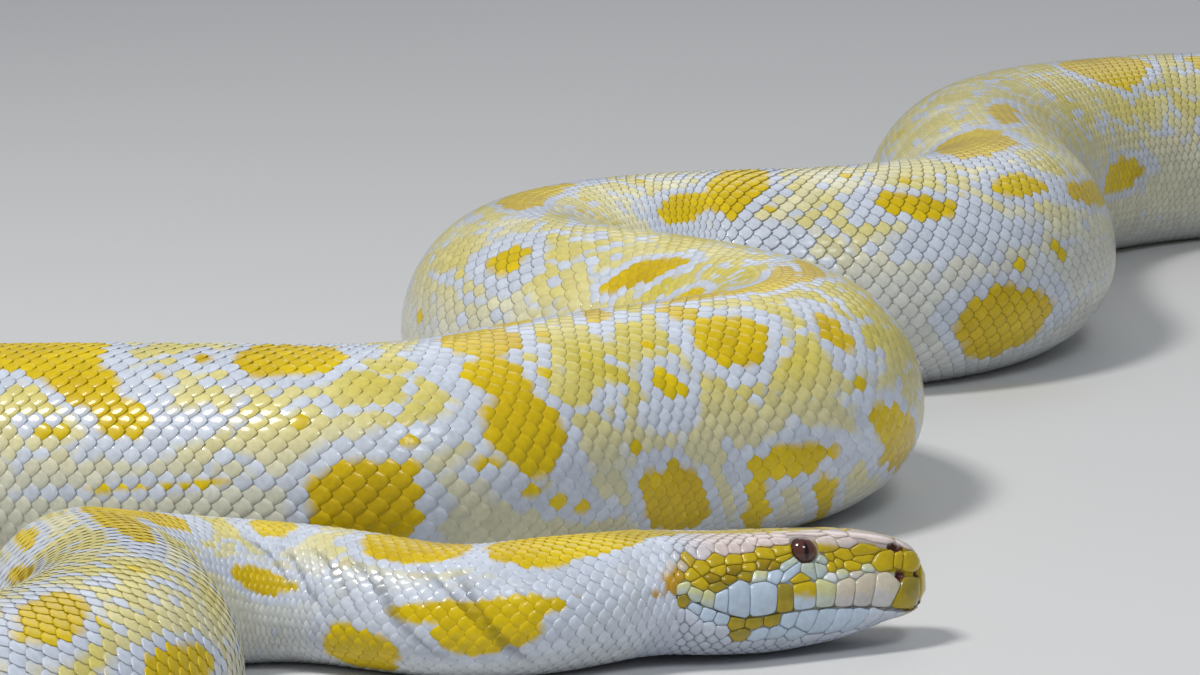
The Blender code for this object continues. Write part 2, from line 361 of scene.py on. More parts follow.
def surface(distance, reach, folded=True):
    """Points of the skin, one for each distance and reach."""
    distance = np.asarray(distance, float)
    reach = np.asarray(reach, float)
    share = held(np.abs(reach) / half_round(distance)) * (PROFILE - 1)
    column = np.minimum(share.astype(int), PROFILE - 2)
    column_share = share - column
    row = np.clip(np.searchsorted(STATIONS, distance) - 1, 0, len(STATIONS) - 2)
    row_share = held((distance - STATIONS[row]) / (STATIONS[row + 1] - STATIONS[row]))

    def looked_up(table):
        low = table[row, column] * (1 - column_share) + table[row, column + 1] * column_share
        high = table[row + 1, column] * (1 - column_share)
        high = high + table[row + 1, column + 1] * column_share
        return low * (1 - row_share) + high * row_share

    side = looked_up(SIDES_OUT)
    height = looked_up(HEIGHTS)
    if folded:
        sink, _ = creases(distance, reach)
        side = np.maximum(side - sink, 0)
        height = height - sink * 0.5 * held((height - 0.015) / 0.02)
    side = side * np.where(reach < 0, -1, 1)
    # Below the nose the snout leans back.
    lean_back = 0.0026 * held((0.0215 - height) / 0.0075) ** 1.6 * held(1 - distance / 0.016)
    roll = math.radians(HEAD_ROLL) * held((ROLL_ENDS - distance) / (ROLL_ENDS - HEAD_LENGTH))
    leant_side = side * np.cos(roll) - height * np.sin(roll)
    leant_height = height * np.cos(roll) + side * np.sin(roll)
    leant_height = np.maximum(leant_height, np.minimum(height, COAT_DEPTH))
    middle_x = np.interp(distance, WALK, WALK_X)
    middle_y = np.interp(distance, WALK, WALK_Y)
    heading = np.interp(distance, WALK, WALK_HEADING)
    return np.stack(
        [
            middle_x - leant_side * np.sin(heading) + lean_back * np.cos(heading) + SHIFT[0],
            middle_y + leant_side * np.cos(heading) + lean_back * np.sin(heading) + SHIFT[1],
            leant_height,
        ],
        axis=-1,
    )


def head_point(out, up):
    """A place beside the head's line at the eyes, with the snout at the origin."""
    heading = math.radians(HEADING)
    return (
        EYE_DISTANCE * math.cos(heading) - out * math.sin(heading),
        EYE_DISTANCE * math.sin(heading) + out * math.cos(heading),
        up,
    )


def eye_centre(side):
    """The middle of one eye, with the snout at the origin."""
    roll = math.radians(HEAD_ROLL)
    out = side * EYE_SIDE * math.cos(roll) - EYE_HEIGHT * math.sin(roll)
    up = EYE_HEIGHT * math.cos(roll) + side * EYE_SIDE * math.sin(roll)
    return Vector(head_point(out, up))


# The animal's place, given by its right eye.
_eye_low, _eye_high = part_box("eye_right")
_eye_middle = (Vector(_eye_low) + Vector(_eye_high)) / 2
_eye_here = eye_centre(1)
SHIFT = np.array([_eye_middle.x - _eye_here.x, _eye_middle.y - _eye_here.y, 0.0])
EYES = {side: np.array(eye_centre(side) + Vector(SHIFT)) for side in (1, -1)}

# Two places inside the head, at the eyes: one low down, and one in the middle of the tilted head.
SOCKET_FLOOR = SHIFT + head_point(0.0, EYE_HEIGHT - 0.004)
MIDDLE_OF_HEAD = SHIFT + head_point(-0.00525, EYE_HEIGHT - 0.002)


def unit(vectors):
    """Vectors of length 1."""
    return vectors / np.maximum(np.linalg.norm(vectors, axis=-1, keepdims=True), 1e-12)


def directions(distance, reach):
    """At each place: the way towards the tail, the way round the body, and the way out."""
    step = 0.0008
    half = half_round(distance)
    inner = np.where(np.abs(reach) > half - 2 * step, np.sign(reach) * (half - 2 * step), reach)
    along = surface(distance + step, inner, False) - surface(distance - step, inner, False)
    round_body = surface(distance, inner + step, False) - surface(distance, inner - step, False)
    out = unit(np.cross(along, round_body))
    along = unit(along)
    return along, unit(np.cross(out, along)), out


# Hollows of the nostrils and of the heat pits in the lips: distance, reach, half length,
# half width, turn of the long axis, depth.
HOLLOWS = (
    (0.0128, 0.0126, 0.0036, 0.0017, 30, 0.0021), (0.012, 0.0232, 0.0024, 0.0013, 65, 0.0016),
    (0.0042, 0.016, 0.0018, 0.001, 70, 0.0012),
)


def pressed_in(points):
    """Skin points with the hollows of the eyes, the nostrils and the heat pits."""
    points = points.copy()
    for place, reach, half_length, half_width, turn, depth in HOLLOWS:
        for side in (1, -1):
            spot = np.array([place]), np.array([side * reach])
            along, round_body, out = (way[0] for way in directions(*spot))
            long_way, short_way = turned(along, side * round_body, turn)
            away = points - surface(*spot)[0]
            apart = np.hypot(away @ long_way / half_length, away @ short_way / half_width)
            near = np.abs(away @ out) < 0.006
            points -= eased(held(1.25 - apart) * near)[..., None] * out * depth
    for middle in EYES.values():
        far = np.linalg.norm(points - middle, axis=-1)
        inwards = unit(SOCKET_FLOOR - middle)
        share = eased(held(1 - (far - SOCKET_REACH) / SOCKET_EDGE))
        sink = share * SOCKET_DEPTH - bump(far, RIM_REACH, RIM_WIDTH) * RIM_HEIGHT
        points += sink[..., None] * inwards
    return points


# ---------------------------------------------------------------- colours
def paint(red, green, blue):
    """A colour given in everyday 0 to 255 steps, as the light that it stands for."""
    steps = np.array([red, green, blue]) / 255
    return np.where(steps <= 0.04045, steps / 12.92, ((steps + 0.055) / 1.055) ** 2.4)


YELLOW = paint(220, 192, 4)
DEEP_YELLOW = paint(200, 168, 3)
STRAW = paint(208, 192, 72)
CREAM = paint(216, 206, 140)
IVORY = paint(226, 223, 196)
FLANK = paint(209, 208, 190)
LAVENDER = paint(200, 207, 220)
WHITE = paint(222, 226, 228)
BELLY = paint(232, 228, 208)
CROWN = paint(214, 198, 192)
PALE_BLUE = paint(186, 202, 218)
OLIVE = paint(150, 134, 40)
ORANGE = paint(190, 148, 40)
HEAD_YELLOW = paint(194, 168, 6)
PIT_RED = paint(110, 34, 18)
EYE_RED = paint(60, 26, 24)
IRIS_BROWN = paint(104, 64, 54)
PUPIL = paint(14, 5, 6)

# Yellow blotches: distance, reach, half length, half width, turn of the long axis.
BLOTCHES = (
    (0.125, 0.0, 0.034, 0.0225, 0), (0.15, 0.006, 0.026, 0.015, 0), (0.202, 0.002, 0.023, 0.014, 0),
    (0.263, 0.003, 0.01, 0.011, 0), (0.325, 0.006, 0.022, 0.013, 0),
    (0.176, 0.036, 0.023, 0.0055, 0), (0.176, 0.043, 0.013, 0.008, 0),
    (0.272, 0.034, 0.027, 0.0045, 0), (0.212, 0.055, 0.015, 0.012, 0), (0.4, 0.009, 0.06, 0.011, 0),
    (0.4, -0.025, 0.022, 0.004, 0), (0.45, -0.034, 0.032, 0.004, 8), (0.558, 0.019, 0.02, 0.01, 25),
    (0.525, 0.052, 0.019, 0.008, -10), (0.43, 0.07, 0.022, 0.01, 0),
    (1.352, -0.006, 0.034, 0.022, -18), (1.374, -0.031, 0.024, 0.012, -32),
    (1.395, -0.05, 0.016, 0.009, -30), (1.459, -0.011, 0.022, 0.018, 0),
    (1.484, -0.088, 0.014, 0.02, 0), (1.415, -0.0795, 0.034, 0.0015, 4),
    (1.408, -0.031, 0.0035, 0.003, 0), (1.425, -0.016, 0.004, 0.004, 0),
    (1.496, -0.0625, 0.003, 0.002, 0), (1.515, -0.074, 0.003, 0.002, 0),
    (1.527, -0.0865, 0.004, 0.002, 0), (1.54, -0.096, 0.006, 0.0015, -20),
    (1.528, -0.061, 0.0125, 0.019, 0), (1.527, -0.035, 0.0105, 0.014, 0),
    (1.535, -0.008, 0.022, 0.015, 30), (1.568, 0.008, 0.014, 0.006, 20),
    (1.606, 0.0, 0.017, 0.006, 55), (1.607, -0.056, 0.008, 0.006, -25),
    (1.603, -0.106, 0.027, 0.014, -35), (1.653, -0.036, 0.019, 0.016, 0),
    (1.643, -0.014, 0.008, 0.01, 0), (1.661, -0.096, 0.021, 0.007, 0),
    (1.655, -0.119, 0.026, 0.006, -70), (1.689, -0.126, 0.03, 0.0045, -65),
    (1.713, -0.098, 0.019, 0.01, -55), (1.699, -0.043, 0.006, 0.013, 0),
    (1.715, 0.001, 0.05, 0.007, 0), (1.755, -0.011, 0.036, 0.005, -5),
    (1.672, 0.009, 0.03, 0.006, 20), (1.838, 0.037, 0.021, 0.009, 28),
    (1.918, 0.042, 0.009, 0.01, 0), (1.78, 0.05, 0.022, 0.01, 15), (2.005, 0.004, 0.045, 0.013, 0),
    (2.096, -0.039, 0.024, 0.01, 12), (2.138, -0.022, 0.015, 0.028, -15),
    (2.214, -0.045, 0.018, 0.008, -15), (2.274, -0.043, 0.018, 0.008, -10),
    (2.118, -0.036, 0.016, 0.006, 5), (2.247, -0.114, 0.024, 0.02, 0),
    (2.312, 0.008, 0.052, 0.023, 12), (2.335, -0.063, 0.036, 0.008, -12),
    (2.43, -0.012, 0.05, 0.008, -6), (2.5, -0.095, 0.024, 0.022, 0),
    (2.655, -0.097, 0.042, 0.01, 5), (2.717, -0.018, 0.042, 0.021, 8),
    (2.808, -0.022, 0.009, 0.016, 0),
)

# Stretches of skin whose blotches are all given above: distances and reaches.
SETTLED = (
    (0.08, 0.35, -0.012, 0.1), (0.35, 0.6, -0.052, 0.085), (1.32, 1.51, -0.112, 0.02),
    (1.5, 1.82, -0.155, 0.03), (1.76, 2.02, -0.02, 0.09), (1.94, 2.42, -0.14, 0.03),
    (2.36, 2.86, -0.17, 0.045),
)


def mixed(low, high, share):
    """Colours between two others."""
    share = np.asarray(share)[..., None]
    return low * (1 - share) + high * share


def waves(distance, reach, size, seed):
    """A slow wandering value between about -1 and 1."""
    x = distance / size
    y = reach / size
    value = np.sin(x * 1.7 + y * 1.1 + seed) + np.sin(x * -1.2 + y * 1.9 + seed * 2.3 + 1.3)
    value += 0.7 * np.sin(x * 2.9 + y * 2.3 + seed * 1.7 + 0.4)
    value += 0.5 * np.sin(x * 4.7 - y * 3.9 + seed * 0.7 + 2.1)
    return value / 2.4


def spare_blotches():
    """Blotches for the stretches that are not settled."""
    made = []
    draw = np.random.default_rng(31)

    def add(place, reach, half_length, half_width, turn):
        room = half_length + 0.004
        for start, end, low, high in SETTLED:
            if start - room < place < end + room and low - room < reach < high + room:
                return
        made.append((place, reach, half_length, half_width, turn))

    distance = 0.16
    side = 1
    while distance < 4.25:
        size = float(
            np.interp(distance, [0.1, 0.5, 1.5, 3.0, 3.9, 4.3], [0.55, 0.8, 1.0, 1.0, 0.55, 0.3])
        )
        half = float(half_round(distance))
        shift, length, _, turn = draw.uniform(0.5, 1.3, 4)
        half_length = 0.042 * size * length
        add(distance, side * 0.016 * size * shift, half_length, 0.021 * size, 60 * turn - 55)
        for flank in (1, -1):
            along, across, length, turn = draw.uniform(0.7, 1.3, 4)
            place = distance + 0.045 * size * along
            half_width = 0.021 * size * across
            reach = flank * half * 0.55 * across
            add(place, reach, 0.026 * size * length, half_width, 40 * turn - 40)
        distance += 0.105 * size * float(draw.uniform(0.9, 1.15))
        side = -side
    return tuple(made)


ALL_BLOTCHES = BLOTCHES + spare_blotches()

# How yellow the ground between the blotches is: distance, share.
GROUND_YELLOW = (
    (0.0, 0.35), (1.3, 0.35), (1.45, 0.4), (1.54, 0.7), (1.76, 0.85), (1.86, 0.48), (2.05, 0.28),
    (2.28, 0.22), (2.4, 0.35), (2.6, 0.55), (3.0, 0.45), (4.33, 0.4),
)

# Blotches: how soft their edge is, and how wide and how soft the pale border round them is. Then
# how dark the skin beside its scales is painted: painted shade for the gaps between them.
BLOTCH_EDGE = 0.0012
BORDER_WIDTH = 0.0085
BORDER_EDGE = 0.002
PAINTED_SHADE_BETWEEN_SCALES = 0.60

# Pale patches between the blotches: distance, reach, half length, half width.
PALE_PATCHES = (
    (1.424, -0.055, 0.02, 0.008), (1.512, -0.059, 0.018, 0.007), (1.45, -0.022, 0.014, 0.006),
    (1.6, -0.068, 0.018, 0.008), (2.13, -0.062, 0.05, 0.014), (2.23, -0.066, 0.04, 0.012),
)


def markings(distance, reach, jitter=0.0, spark=0.5):
    """The body's colours at these places. Jitter moves a scale's blotch edge, and spark, from 0
    to 1, picks out the few scales that are unlike their neighbours."""
    distance = np.asarray(distance, float)
    reach = np.asarray(reach, float)
    spark = np.broadcast_to(spark, distance.shape)
    side = np.abs(reach)
    low = side / half_round(distance)
    nearest = np.full(distance.shape, 1.0)
    for place, offset, half_length, half_width, turn in ALL_BLOTCHES:
        close = np.abs(distance - place) < half_length + half_width + 0.03
        if not close.any():
            continue
        u, v = turned(distance[close] - place, reach[close] - offset, turn)
        wander = 0.16 * waves(distance[close], reach[close], 0.016, place * 40)
        far = np.hypot(u / half_length, v / half_width) - 1 + wander
        far *= math.sqrt(half_length * half_width)
        nearest[close] = np.minimum(nearest[close], far)
    nearest = nearest + jitter
    inside = held(0.5 - nearest / BLOTCH_EDGE)
    border_width = BORDER_WIDTH + 0.003 * waves(distance, reach, 0.03, 5.0)
    border = held(0.5 - (nearest - border_width) / BORDER_EDGE)
    stations, shares = np.array(GROUND_YELLOW).T
    yellowness = np.interp(distance, stations, shares)
    share = held(yellowness + 0.28 * waves(distance, reach, 0.02, 2.0))
    ground = mixed(IVORY, CREAM, held(share / 0.35))
    ground = mixed(ground, STRAW, held((share - 0.35) / 0.65))
    flank = mixed(FLANK, STRAW, held(yellowness * 1.1 - 0.50))
    flank = mixed(flank, LAVENDER, held(1.2 - yellowness * 3.6))
    ground = mixed(ground, flank, held((low - 0.30) / 0.16))
    golden = (spark < 0.014) & (low < 0.5)
    ground = np.where(golden[..., None], YELLOW * 0.95, ground)
    ground = np.where((spark > 0.97)[..., None], LAVENDER, ground)
    streak = np.abs(waves(distance, reach * 1.6, 0.020, 11.0))
    net = held((0.15 - streak) / 0.07) * held((0.50 - low) / 0.08)
    ground = mixed(ground, LAVENDER, net)
    for place, offset, half_length, half_width in PALE_PATCHES:
        far = np.hypot((distance - place) / half_length, (reach - offset) / half_width)
        far = far + 0.2 * waves(distance, reach, 0.012, place * 30)
        ground = mixed(ground, LAVENDER, held((1.1 - far) / 0.25))
    yellow = mixed(YELLOW, DEEP_YELLOW, held(0.4 + 0.5 * waves(distance, reach, 0.03, 9.0)))
    colour = mixed(mixed(ground, LAVENDER, border), yellow, inside)
    on_neck = held((0.30 - distance) / 0.08) * held((side - 0.016) / 0.008)
    colour = mixed(colour, LAVENDER, on_neck * 0.85 * (1 - inside))
    colour = mixed(colour, WHITE, held((low - 0.62) / 0.14) * (1 - inside) * 0.8)
    # Painted shade: the skin is painted darker along the lines of the folds.
    _, fold_shade = creases(distance, reach)
    return held(colour * (1 - 0.50 * fold_shade)[..., None])


# ---------------------------------------------------------------- meshes
def linked(name, data):
    """A new object in the scene."""
    obj = bpy.data.objects.new(name, data)
    bpy.context.scene.collection.objects.link(obj)
    return obj


def new_piece(name, points, faces, colours, uvs=None):
    """A mesh object. Faces is a list of arrays, each of faces with equal numbers of corners."""
    mesh = bpy.data.meshes.new(name)
    corners = np.concatenate([part.ravel() for part in faces])
    sizes = np.concatenate([np.full(len(part), part.shape[1]) for part in faces])
    starts = np.concatenate([[0], np.cumsum(sizes)[:-1]])
    mesh.vertices.add(len(points))
    mesh.vertices.foreach_set("co", np.asarray(points, np.float32).ravel())
    mesh.loops.add(len(corners))
    mesh.loops.foreach_set("vertex_index", corners.astype(np.int32))
    mesh.polygons.add(len(sizes))
    mesh.polygons.foreach_set("loop_start", starts.astype(np.int32))
    mesh.polygons.foreach_set("use_smooth", np.full(len(sizes), True))
    mesh.update(calc_edges=True)
    mesh.validate()
    layer = mesh.color_attributes.new("Markings", "FLOAT_COLOR", "POINT")
    rgba = np.ones((len(points), 4), np.float32)
    rgba[:, :3] = held(colours)
    layer.data.foreach_set("color", rgba.ravel())
    if uvs is not None:
        layer = mesh.uv_layers.new(name="OFBake")
        layer.data.foreach_set("uv", np.asarray(uvs, np.float32)[corners].ravel())
    return linked(name, mesh)


def closed_tube(rings, columns):
    """Faces between closed rings of points, and those that close both ends on two more points."""
    ring = np.arange(rings - 1)[:, None] * columns
    column = np.arange(columns)
    after = (column + 1) % columns
    corners = [ring + column, ring + columns + column, ring + columns + after, ring + after]
    many = rings * columns
    base = many - columns
    front = [np.full(columns, many), column, after]
    back = [np.full(columns, many + 1), base + after, base + column]
    sides = np.stack(corners, axis=-1).reshape(-1, 4)
    return [sides, np.stack(front, axis=-1), np.stack(back, axis=-1)]


def dome_faces(rings, count):
    """Faces of a dome of rings under one peak, and of its flat base."""
    quads = []
    for low in range(0, (rings - 1) * count, count):
        for k in range(count):
            after = low + (k + 1) % count
            quads.append((low + k, after, after + count, low + k + count))
    last = (rings - 1) * count
    peak = rings * count
    triangles = [(last + k, last + (k + 1) % count, peak) for k in range(count)]
    triangles += [(0, k + 1, k) for k in range(1, count - 1)]
    return np.array(quads), np.array(triangles)


def copied(faces, copies, points_each):
    """The faces of many like shapes, each with this number of points."""
    offset = (np.arange(copies) * points_each)[:, None, None]
    return (faces[None] + offset).reshape(-1, faces.shape[1])


def build_skin():
    """One closed skin from snout to tail tip."""
    distances = np.concatenate(
        [
            STATIONS[STATIONS < 0],
            np.arange(0, 0.06, 0.0006),
            np.arange(0.06, 0.13, 0.0011),
            np.arange(0.13, 0.30, 0.0012),
            np.arange(0.30, BODY_LENGTH + 1e-6, 0.006),
        ]
    )
    turn = np.arange(AROUND) / AROUND * 2
    share = np.where(turn <= 1, turn, turn - 2)
    distance = np.repeat(distances[:, None], AROUND, axis=1)
    reach = half_round(distances)[:, None] * share[None, :]
    points = pressed_in(surface(distance, reach)).reshape(-1, 3)
    colour = markings(distance, reach)
    colour = mixed(colour, ground_colour(distance, reach), held((0.13 - distance) / 0.02))
    # Painted shade: the skin between the scales is painted darker than they are.
    colour = colour * (PAINTED_SHADE_BETWEEN_SCALES + 0.02 * held((0.10 - distance) / 0.03))[..., None]
    # Painted shade: the skin along the mouth line is painted dark, for the slit between the lips.
    lips = np.abs(np.abs(reach) - mouth_reach(distance)) / 0.0009
    lips = held(1.3 - lips) * (distance < MOUTH_CORNER)
    colour = colour * (1 - 0.75 * lips)[..., None]
    ends = [points[:AROUND].mean(axis=0), points[-AROUND:].mean(axis=0)]
    return new_piece(
        "python_skin",
        np.concatenate([points, ends]),
        closed_tube(len(distances), AROUND),
        np.concatenate([colour.reshape(-1, 3), [colour[0, 0], colour[-1, 0]]]),
    )


# ---------------------------------------------------------------- scales of the body
def scale_template(rim_count, rings):
    """One scale lying along X with its tip at +X: points as length, width, height, and faces."""
    angle = np.arange(rim_count) / rim_count * math.tau
    along = np.cos(angle)
    across = np.sin(angle)
    bend = np.where(along > 0, 1.28, 1.0)
    outline_along = np.sign(along) * np.abs(along) ** bend * np.where(along > 0, 0.79, 0.60)
    outline_across = np.sign(across) * np.abs(across) ** bend * 0.95
    points = []
    for share, lift in rings:
        for a, b in zip(outline_along, outline_across):
            points.append((a * share, b * share, lift))
    points.append((-0.04, 0.0, rings[-1][1] + 0.010))
    return np.array(points), *dome_faces(len(rings), rim_count)


def body_width(distance):
    """How wide the body is at these distances."""
    return smooth_between(GIRTH, np.clip(distance, 0.11, BODY_LENGTH))[0]


def lattice_sizes(distance):
    """The space between rows of scales and between scales in a row, closer where the body bends."""
    spacing, period = smooth_between(LATTICE, distance)
    bend = np.abs(np.interp(distance, WALK, WALK_CURVE)) * body_width(distance) / 2
    return spacing, period / (1 + 0.7 * bend)


def lattice_counts():
    """Distances at which scales of even rows lie, found from the space between them."""
    step = 0.0005
    fine = np.arange(LATTICE[0][0], BODY_LENGTH, step)
    _, period = lattice_sizes(fine)
    return fine, np.concatenate([[0], np.cumsum(step / period)[:-1]])


FINE, COUNT = lattice_counts()


def scute_half(distance):
    """Half the width of the belly's broad plates."""
    return np.clip(0.20 * body_width(distance), 0.0022, None)


def lattice(start, end):
    """Places of the scales between two distances: distance, reach, spacing and period."""
    low = math.ceil(2 * np.interp(start, FINE, COUNT)) / 2
    high = np.interp(end, FINE, COUNT)
    numbers = np.arange(low, high, 0.5)
    distances = np.interp(numbers, COUNT, FINE)
    spacing, period = lattice_sizes(distances)
    rows = np.arange(-MOST_ROWS, MOST_ROWS + 1)
    keep = (np.round(numbers * 2)[:, None] + rows[None, :]) % 2 == 0
    distance = np.repeat(distances[:, None], len(rows), axis=1)
    widening = WIDER_BELOW * np.abs(rows)
    reach = spacing[:, None] * (rows * (1 + widening))[None, :]
    broad = np.where(distances < SCUTES_START, 0.0, scute_half(distances))
    limit = (half_round(distances) - broad + 0.35 * spacing * np.sign(broad - 1e-6))[:, None]
    keep &= np.abs(reach) < limit
    spacing = (spacing[:, None] * (1 + 2 * widening)[None, :])[keep]
    period = np.repeat(period[:, None], len(rows), axis=1)[keep]
    return distance[keep], reach[keep], spacing, period


def stretch_at(distance, reach):
    """How much longer the skin runs here than along the back's line."""
    share = held(np.abs(reach) / half_round(distance))
    side = np.sign(reach) * body_width(distance) / 2 * np.sin(share * math.pi) ** 0.8
    return np.clip(1 - np.interp(distance, WALK, WALK_CURVE) * side, 0.22, 2.0)


def coat_piece(name, start, end, rim_count, rings):
    """One joined mesh of all the scales between two distances."""
    distance, reach, spacing, period = lattice(start, end)
    stretch = stretch_at(distance, reach)
    points, quads, triangles = scale_template(rim_count, rings)
    many = len(distance)
    per = len(points)
    turn = rng.normal(0, 0.03, many)[:, None]
    size = rng.normal(1.0, 0.02, many)[:, None]
    a = points[None, :, 0] * size
    b = points[None, :, 1] * size
    a, b = a - b * turn, b + a * turn
    length = period * np.clip(stretch, 0.62, 1.85)
    fuller = 1 + 0.14 * held(stretch - 1)
    at = np.clip(distance[:, None] + a * (length / stretch)[:, None], 0.0, BODY_LENGTH)
    round_to = reach[:, None] + b * (spacing * fuller)[:, None]
    base = surface(at, round_to)
    _, _, out = directions(at, round_to)
    # Each scale lies over the next one's root, less so where the body lies in a tight bend.
    tilt = (np.clip(a + 0.60, 0, None) * SCALE_TILT * period[:, None]).clip(0, MOST_TILT)
    relief = np.interp(distance, [0.30, 0.38, 0.95, 1.20], [1.0, 0.55, 0.55, 1.0])[:, None]
    near_floor = np.where(base[..., 2] < 0.012, 0.75, 1.0)
    height = (points[None, :, 2] * spacing[:, None] + tilt) * near_floor * relief
    world = base + out * height[..., None]
    world[..., 2] = np.maximum(world[..., 2], SCALES_OVER_FLOOR)
    # A scale takes most of its colour from its middle.
    pull = 0.30 + 0.35 * (distance[:, None] < 0.3)
    seen_at = distance[:, None] + (at - distance[:, None]) * pull
    seen_reach = reach[:, None] + (round_to - reach[:, None]) * pull
    jitter = rng.uniform(-MARK_JITTER, MARK_JITTER, many)[:, None]
    spark = rng.random(many)[:, None]
    colours = markings(seen_at, seen_reach, jitter, spark)
    head = held((0.130 - seen_at) / 0.012)
    colours = mixed(colours, small_plate_colour(seen_at, seen_reach), head)
    colours = colours * rng.uniform(0.93, 1.07, many)[:, None, None]
    # Its root lies in the shade of the scale before it.
    rim = np.where(points[:, 0] > 0.1, 0.96, 0.50)
    under = np.where(points[:, 0] > -0.1, 1.0, 0.80)
    number = np.arange(per)
    edge = np.where(number < rim_count, rim, np.where(number < 2 * rim_count, under, 1.0))
    colours = colours * edge[None, :, None]
    u = ((distance - start) / (end - start) * 0.98 + 0.01)[:, None]
    v = ((reach / half_round(distance) + 1) / 2 * 0.98 + 0.01)[:, None]
    u = u + points[None, :, 0] / 1.3 * PATCH
    v = v + points[None, :, 1] / 1.9 * PATCH
    return new_piece(
        name,
        world.reshape(-1, 3),
        [copied(quads, many, per), copied(triangles, many, per)],
        colours.reshape(-1, 3),
        np.stack([u, v], axis=-1).reshape(-1, 2),
    )


# The belly's plates: the space between them, their rows of points with how high each lies, the
# points in a row, their shares of the belly's width, and how far they reach under the scales.
SCUTE_PITCH = ((0.10, 0.0085), (0.5, 0.012), (2.0, 0.0150), (3.3, 0.0140), (4.33, 0.0035))
SCUTE_ROWS = ((-0.62, 0.00002), (-0.2, 0.00045), (0.45, 0.00062), (0.60, 0.00050), (0.62, 0.0001))
SCUTE_COLUMNS = 15
WHOLE = ((-1.0, 1.0),)
PAIRED = ((-1.0, -0.02), (0.02, 1.0))
SCUTE_OVERLAP = 0.0012


def build_scutes(name, start, end, halves):
    """The broad plates of the belly, or the paired ones under the tail."""
    rows = len(SCUTE_ROWS)
    across = np.linspace(-1, 1, SCUTE_COLUMNS)
    points = []
    colours = []
    uvs = []
    scutes = 0
    distance = start
    while distance < end:
        pitch = float(smooth_between(SCUTE_PITCH, np.array([distance]))[0][0])
        half_width = float(scute_half(np.array([distance]))[0]) + SCUTE_OVERLAP
        for number, (low, high) in enumerate(halves):
            # The left one of a pair lies a little behind the right one.
            shift = 0.25 * pitch if len(halves) > 1 and number == 0 else 0.0
            share = low + (high - low) * (across + 1) / 2
            edge = np.clip((1 - np.abs(share)) / 0.10, 0.15, 1)
            for row, lift in SCUTE_ROWS:
                at = distance + shift + (row + 0.10 * share**2) * pitch
                at = np.clip(at, 0, BODY_LENGTH)
                wide = half_width * np.abs(share) * (1 - 0.10 * abs(row))
                reach = np.where(share < 0, -1, 1) * (half_round(at) - wide)
                _, _, out = directions(at, reach)
                point = surface(at, reach) + out * (lift * edge)[:, None]
                point[:, 2] = np.maximum(point[:, 2], SCUTES_OVER_FLOOR)
                points.append(point)
                u = 0.01 + 0.98 * (distance - start) / (end - start) + 0.0015 * row
                uvs.append(np.stack([np.full(SCUTE_COLUMNS, u), 0.5 + 0.45 * share], axis=-1))
        tone = mixed(BELLY, LAVENDER, held(0.3 + 0.4 * math.sin(scutes / len(halves) * 0.9)))
        colours.append(np.tile(tone, (len(halves) * rows * SCUTE_COLUMNS, 1)))
        scutes += len(halves)
        distance += pitch
    grid = np.arange(rows * SCUTE_COLUMNS).reshape(rows, SCUTE_COLUMNS)
    top = [grid[:-1, :-1], grid[:-1, 1:], grid[1:, 1:], grid[1:, :-1]]
    bottom = [grid[0, :-1], grid[-1, :-1], grid[-1, 1:], grid[0, 1:]]
    quads = np.concatenate([np.stack(top, axis=-1).reshape(-1, 4), np.stack(bottom, axis=-1)])
    ends = np.stack([grid[:, 0], grid[::-1, -1]])
    return new_piece(
        name,
        np.concatenate(points),
        [copied(quads, scutes, grid.size), copied(ends, scutes, grid.size)],
        np.concatenate(colours),
        np.concatenate(uvs),
    )


# ---------------------------------------------------------------- plates of the head
PLATE_COLOURS = {
    "y": (HEAD_YELLOW, HEAD_YELLOW),
    "o": (OLIVE, HEAD_YELLOW * 0.75),
    "b": (DEEP_YELLOW * 0.62, DEEP_YELLOW * 0.5),
    "w": (WHITE, WHITE),
    "p": (PALE_BLUE, PALE_BLUE),
    "g": (paint(188, 198, 180), paint(176, 190, 186)),
    "c": (CROWN, CROWN),
    "l": (LAVENDER, LAVENDER),
    "t": (HEAD_YELLOW, PALE_BLUE),
    "u": (CROWN, HEAD_YELLOW),
    "s": (paint(214, 206, 186), paint(206, 206, 206)),
    "d": (PIT_RED, PIT_RED * 0.5),
    "n": (paint(96, 50, 16), paint(70, 30, 12)),
    "e": (paint(206, 206, 150), paint(196, 204, 190)),
}

# Nostrils and heat pits, where the hollow skin shows.
BARE = ("d", "n")

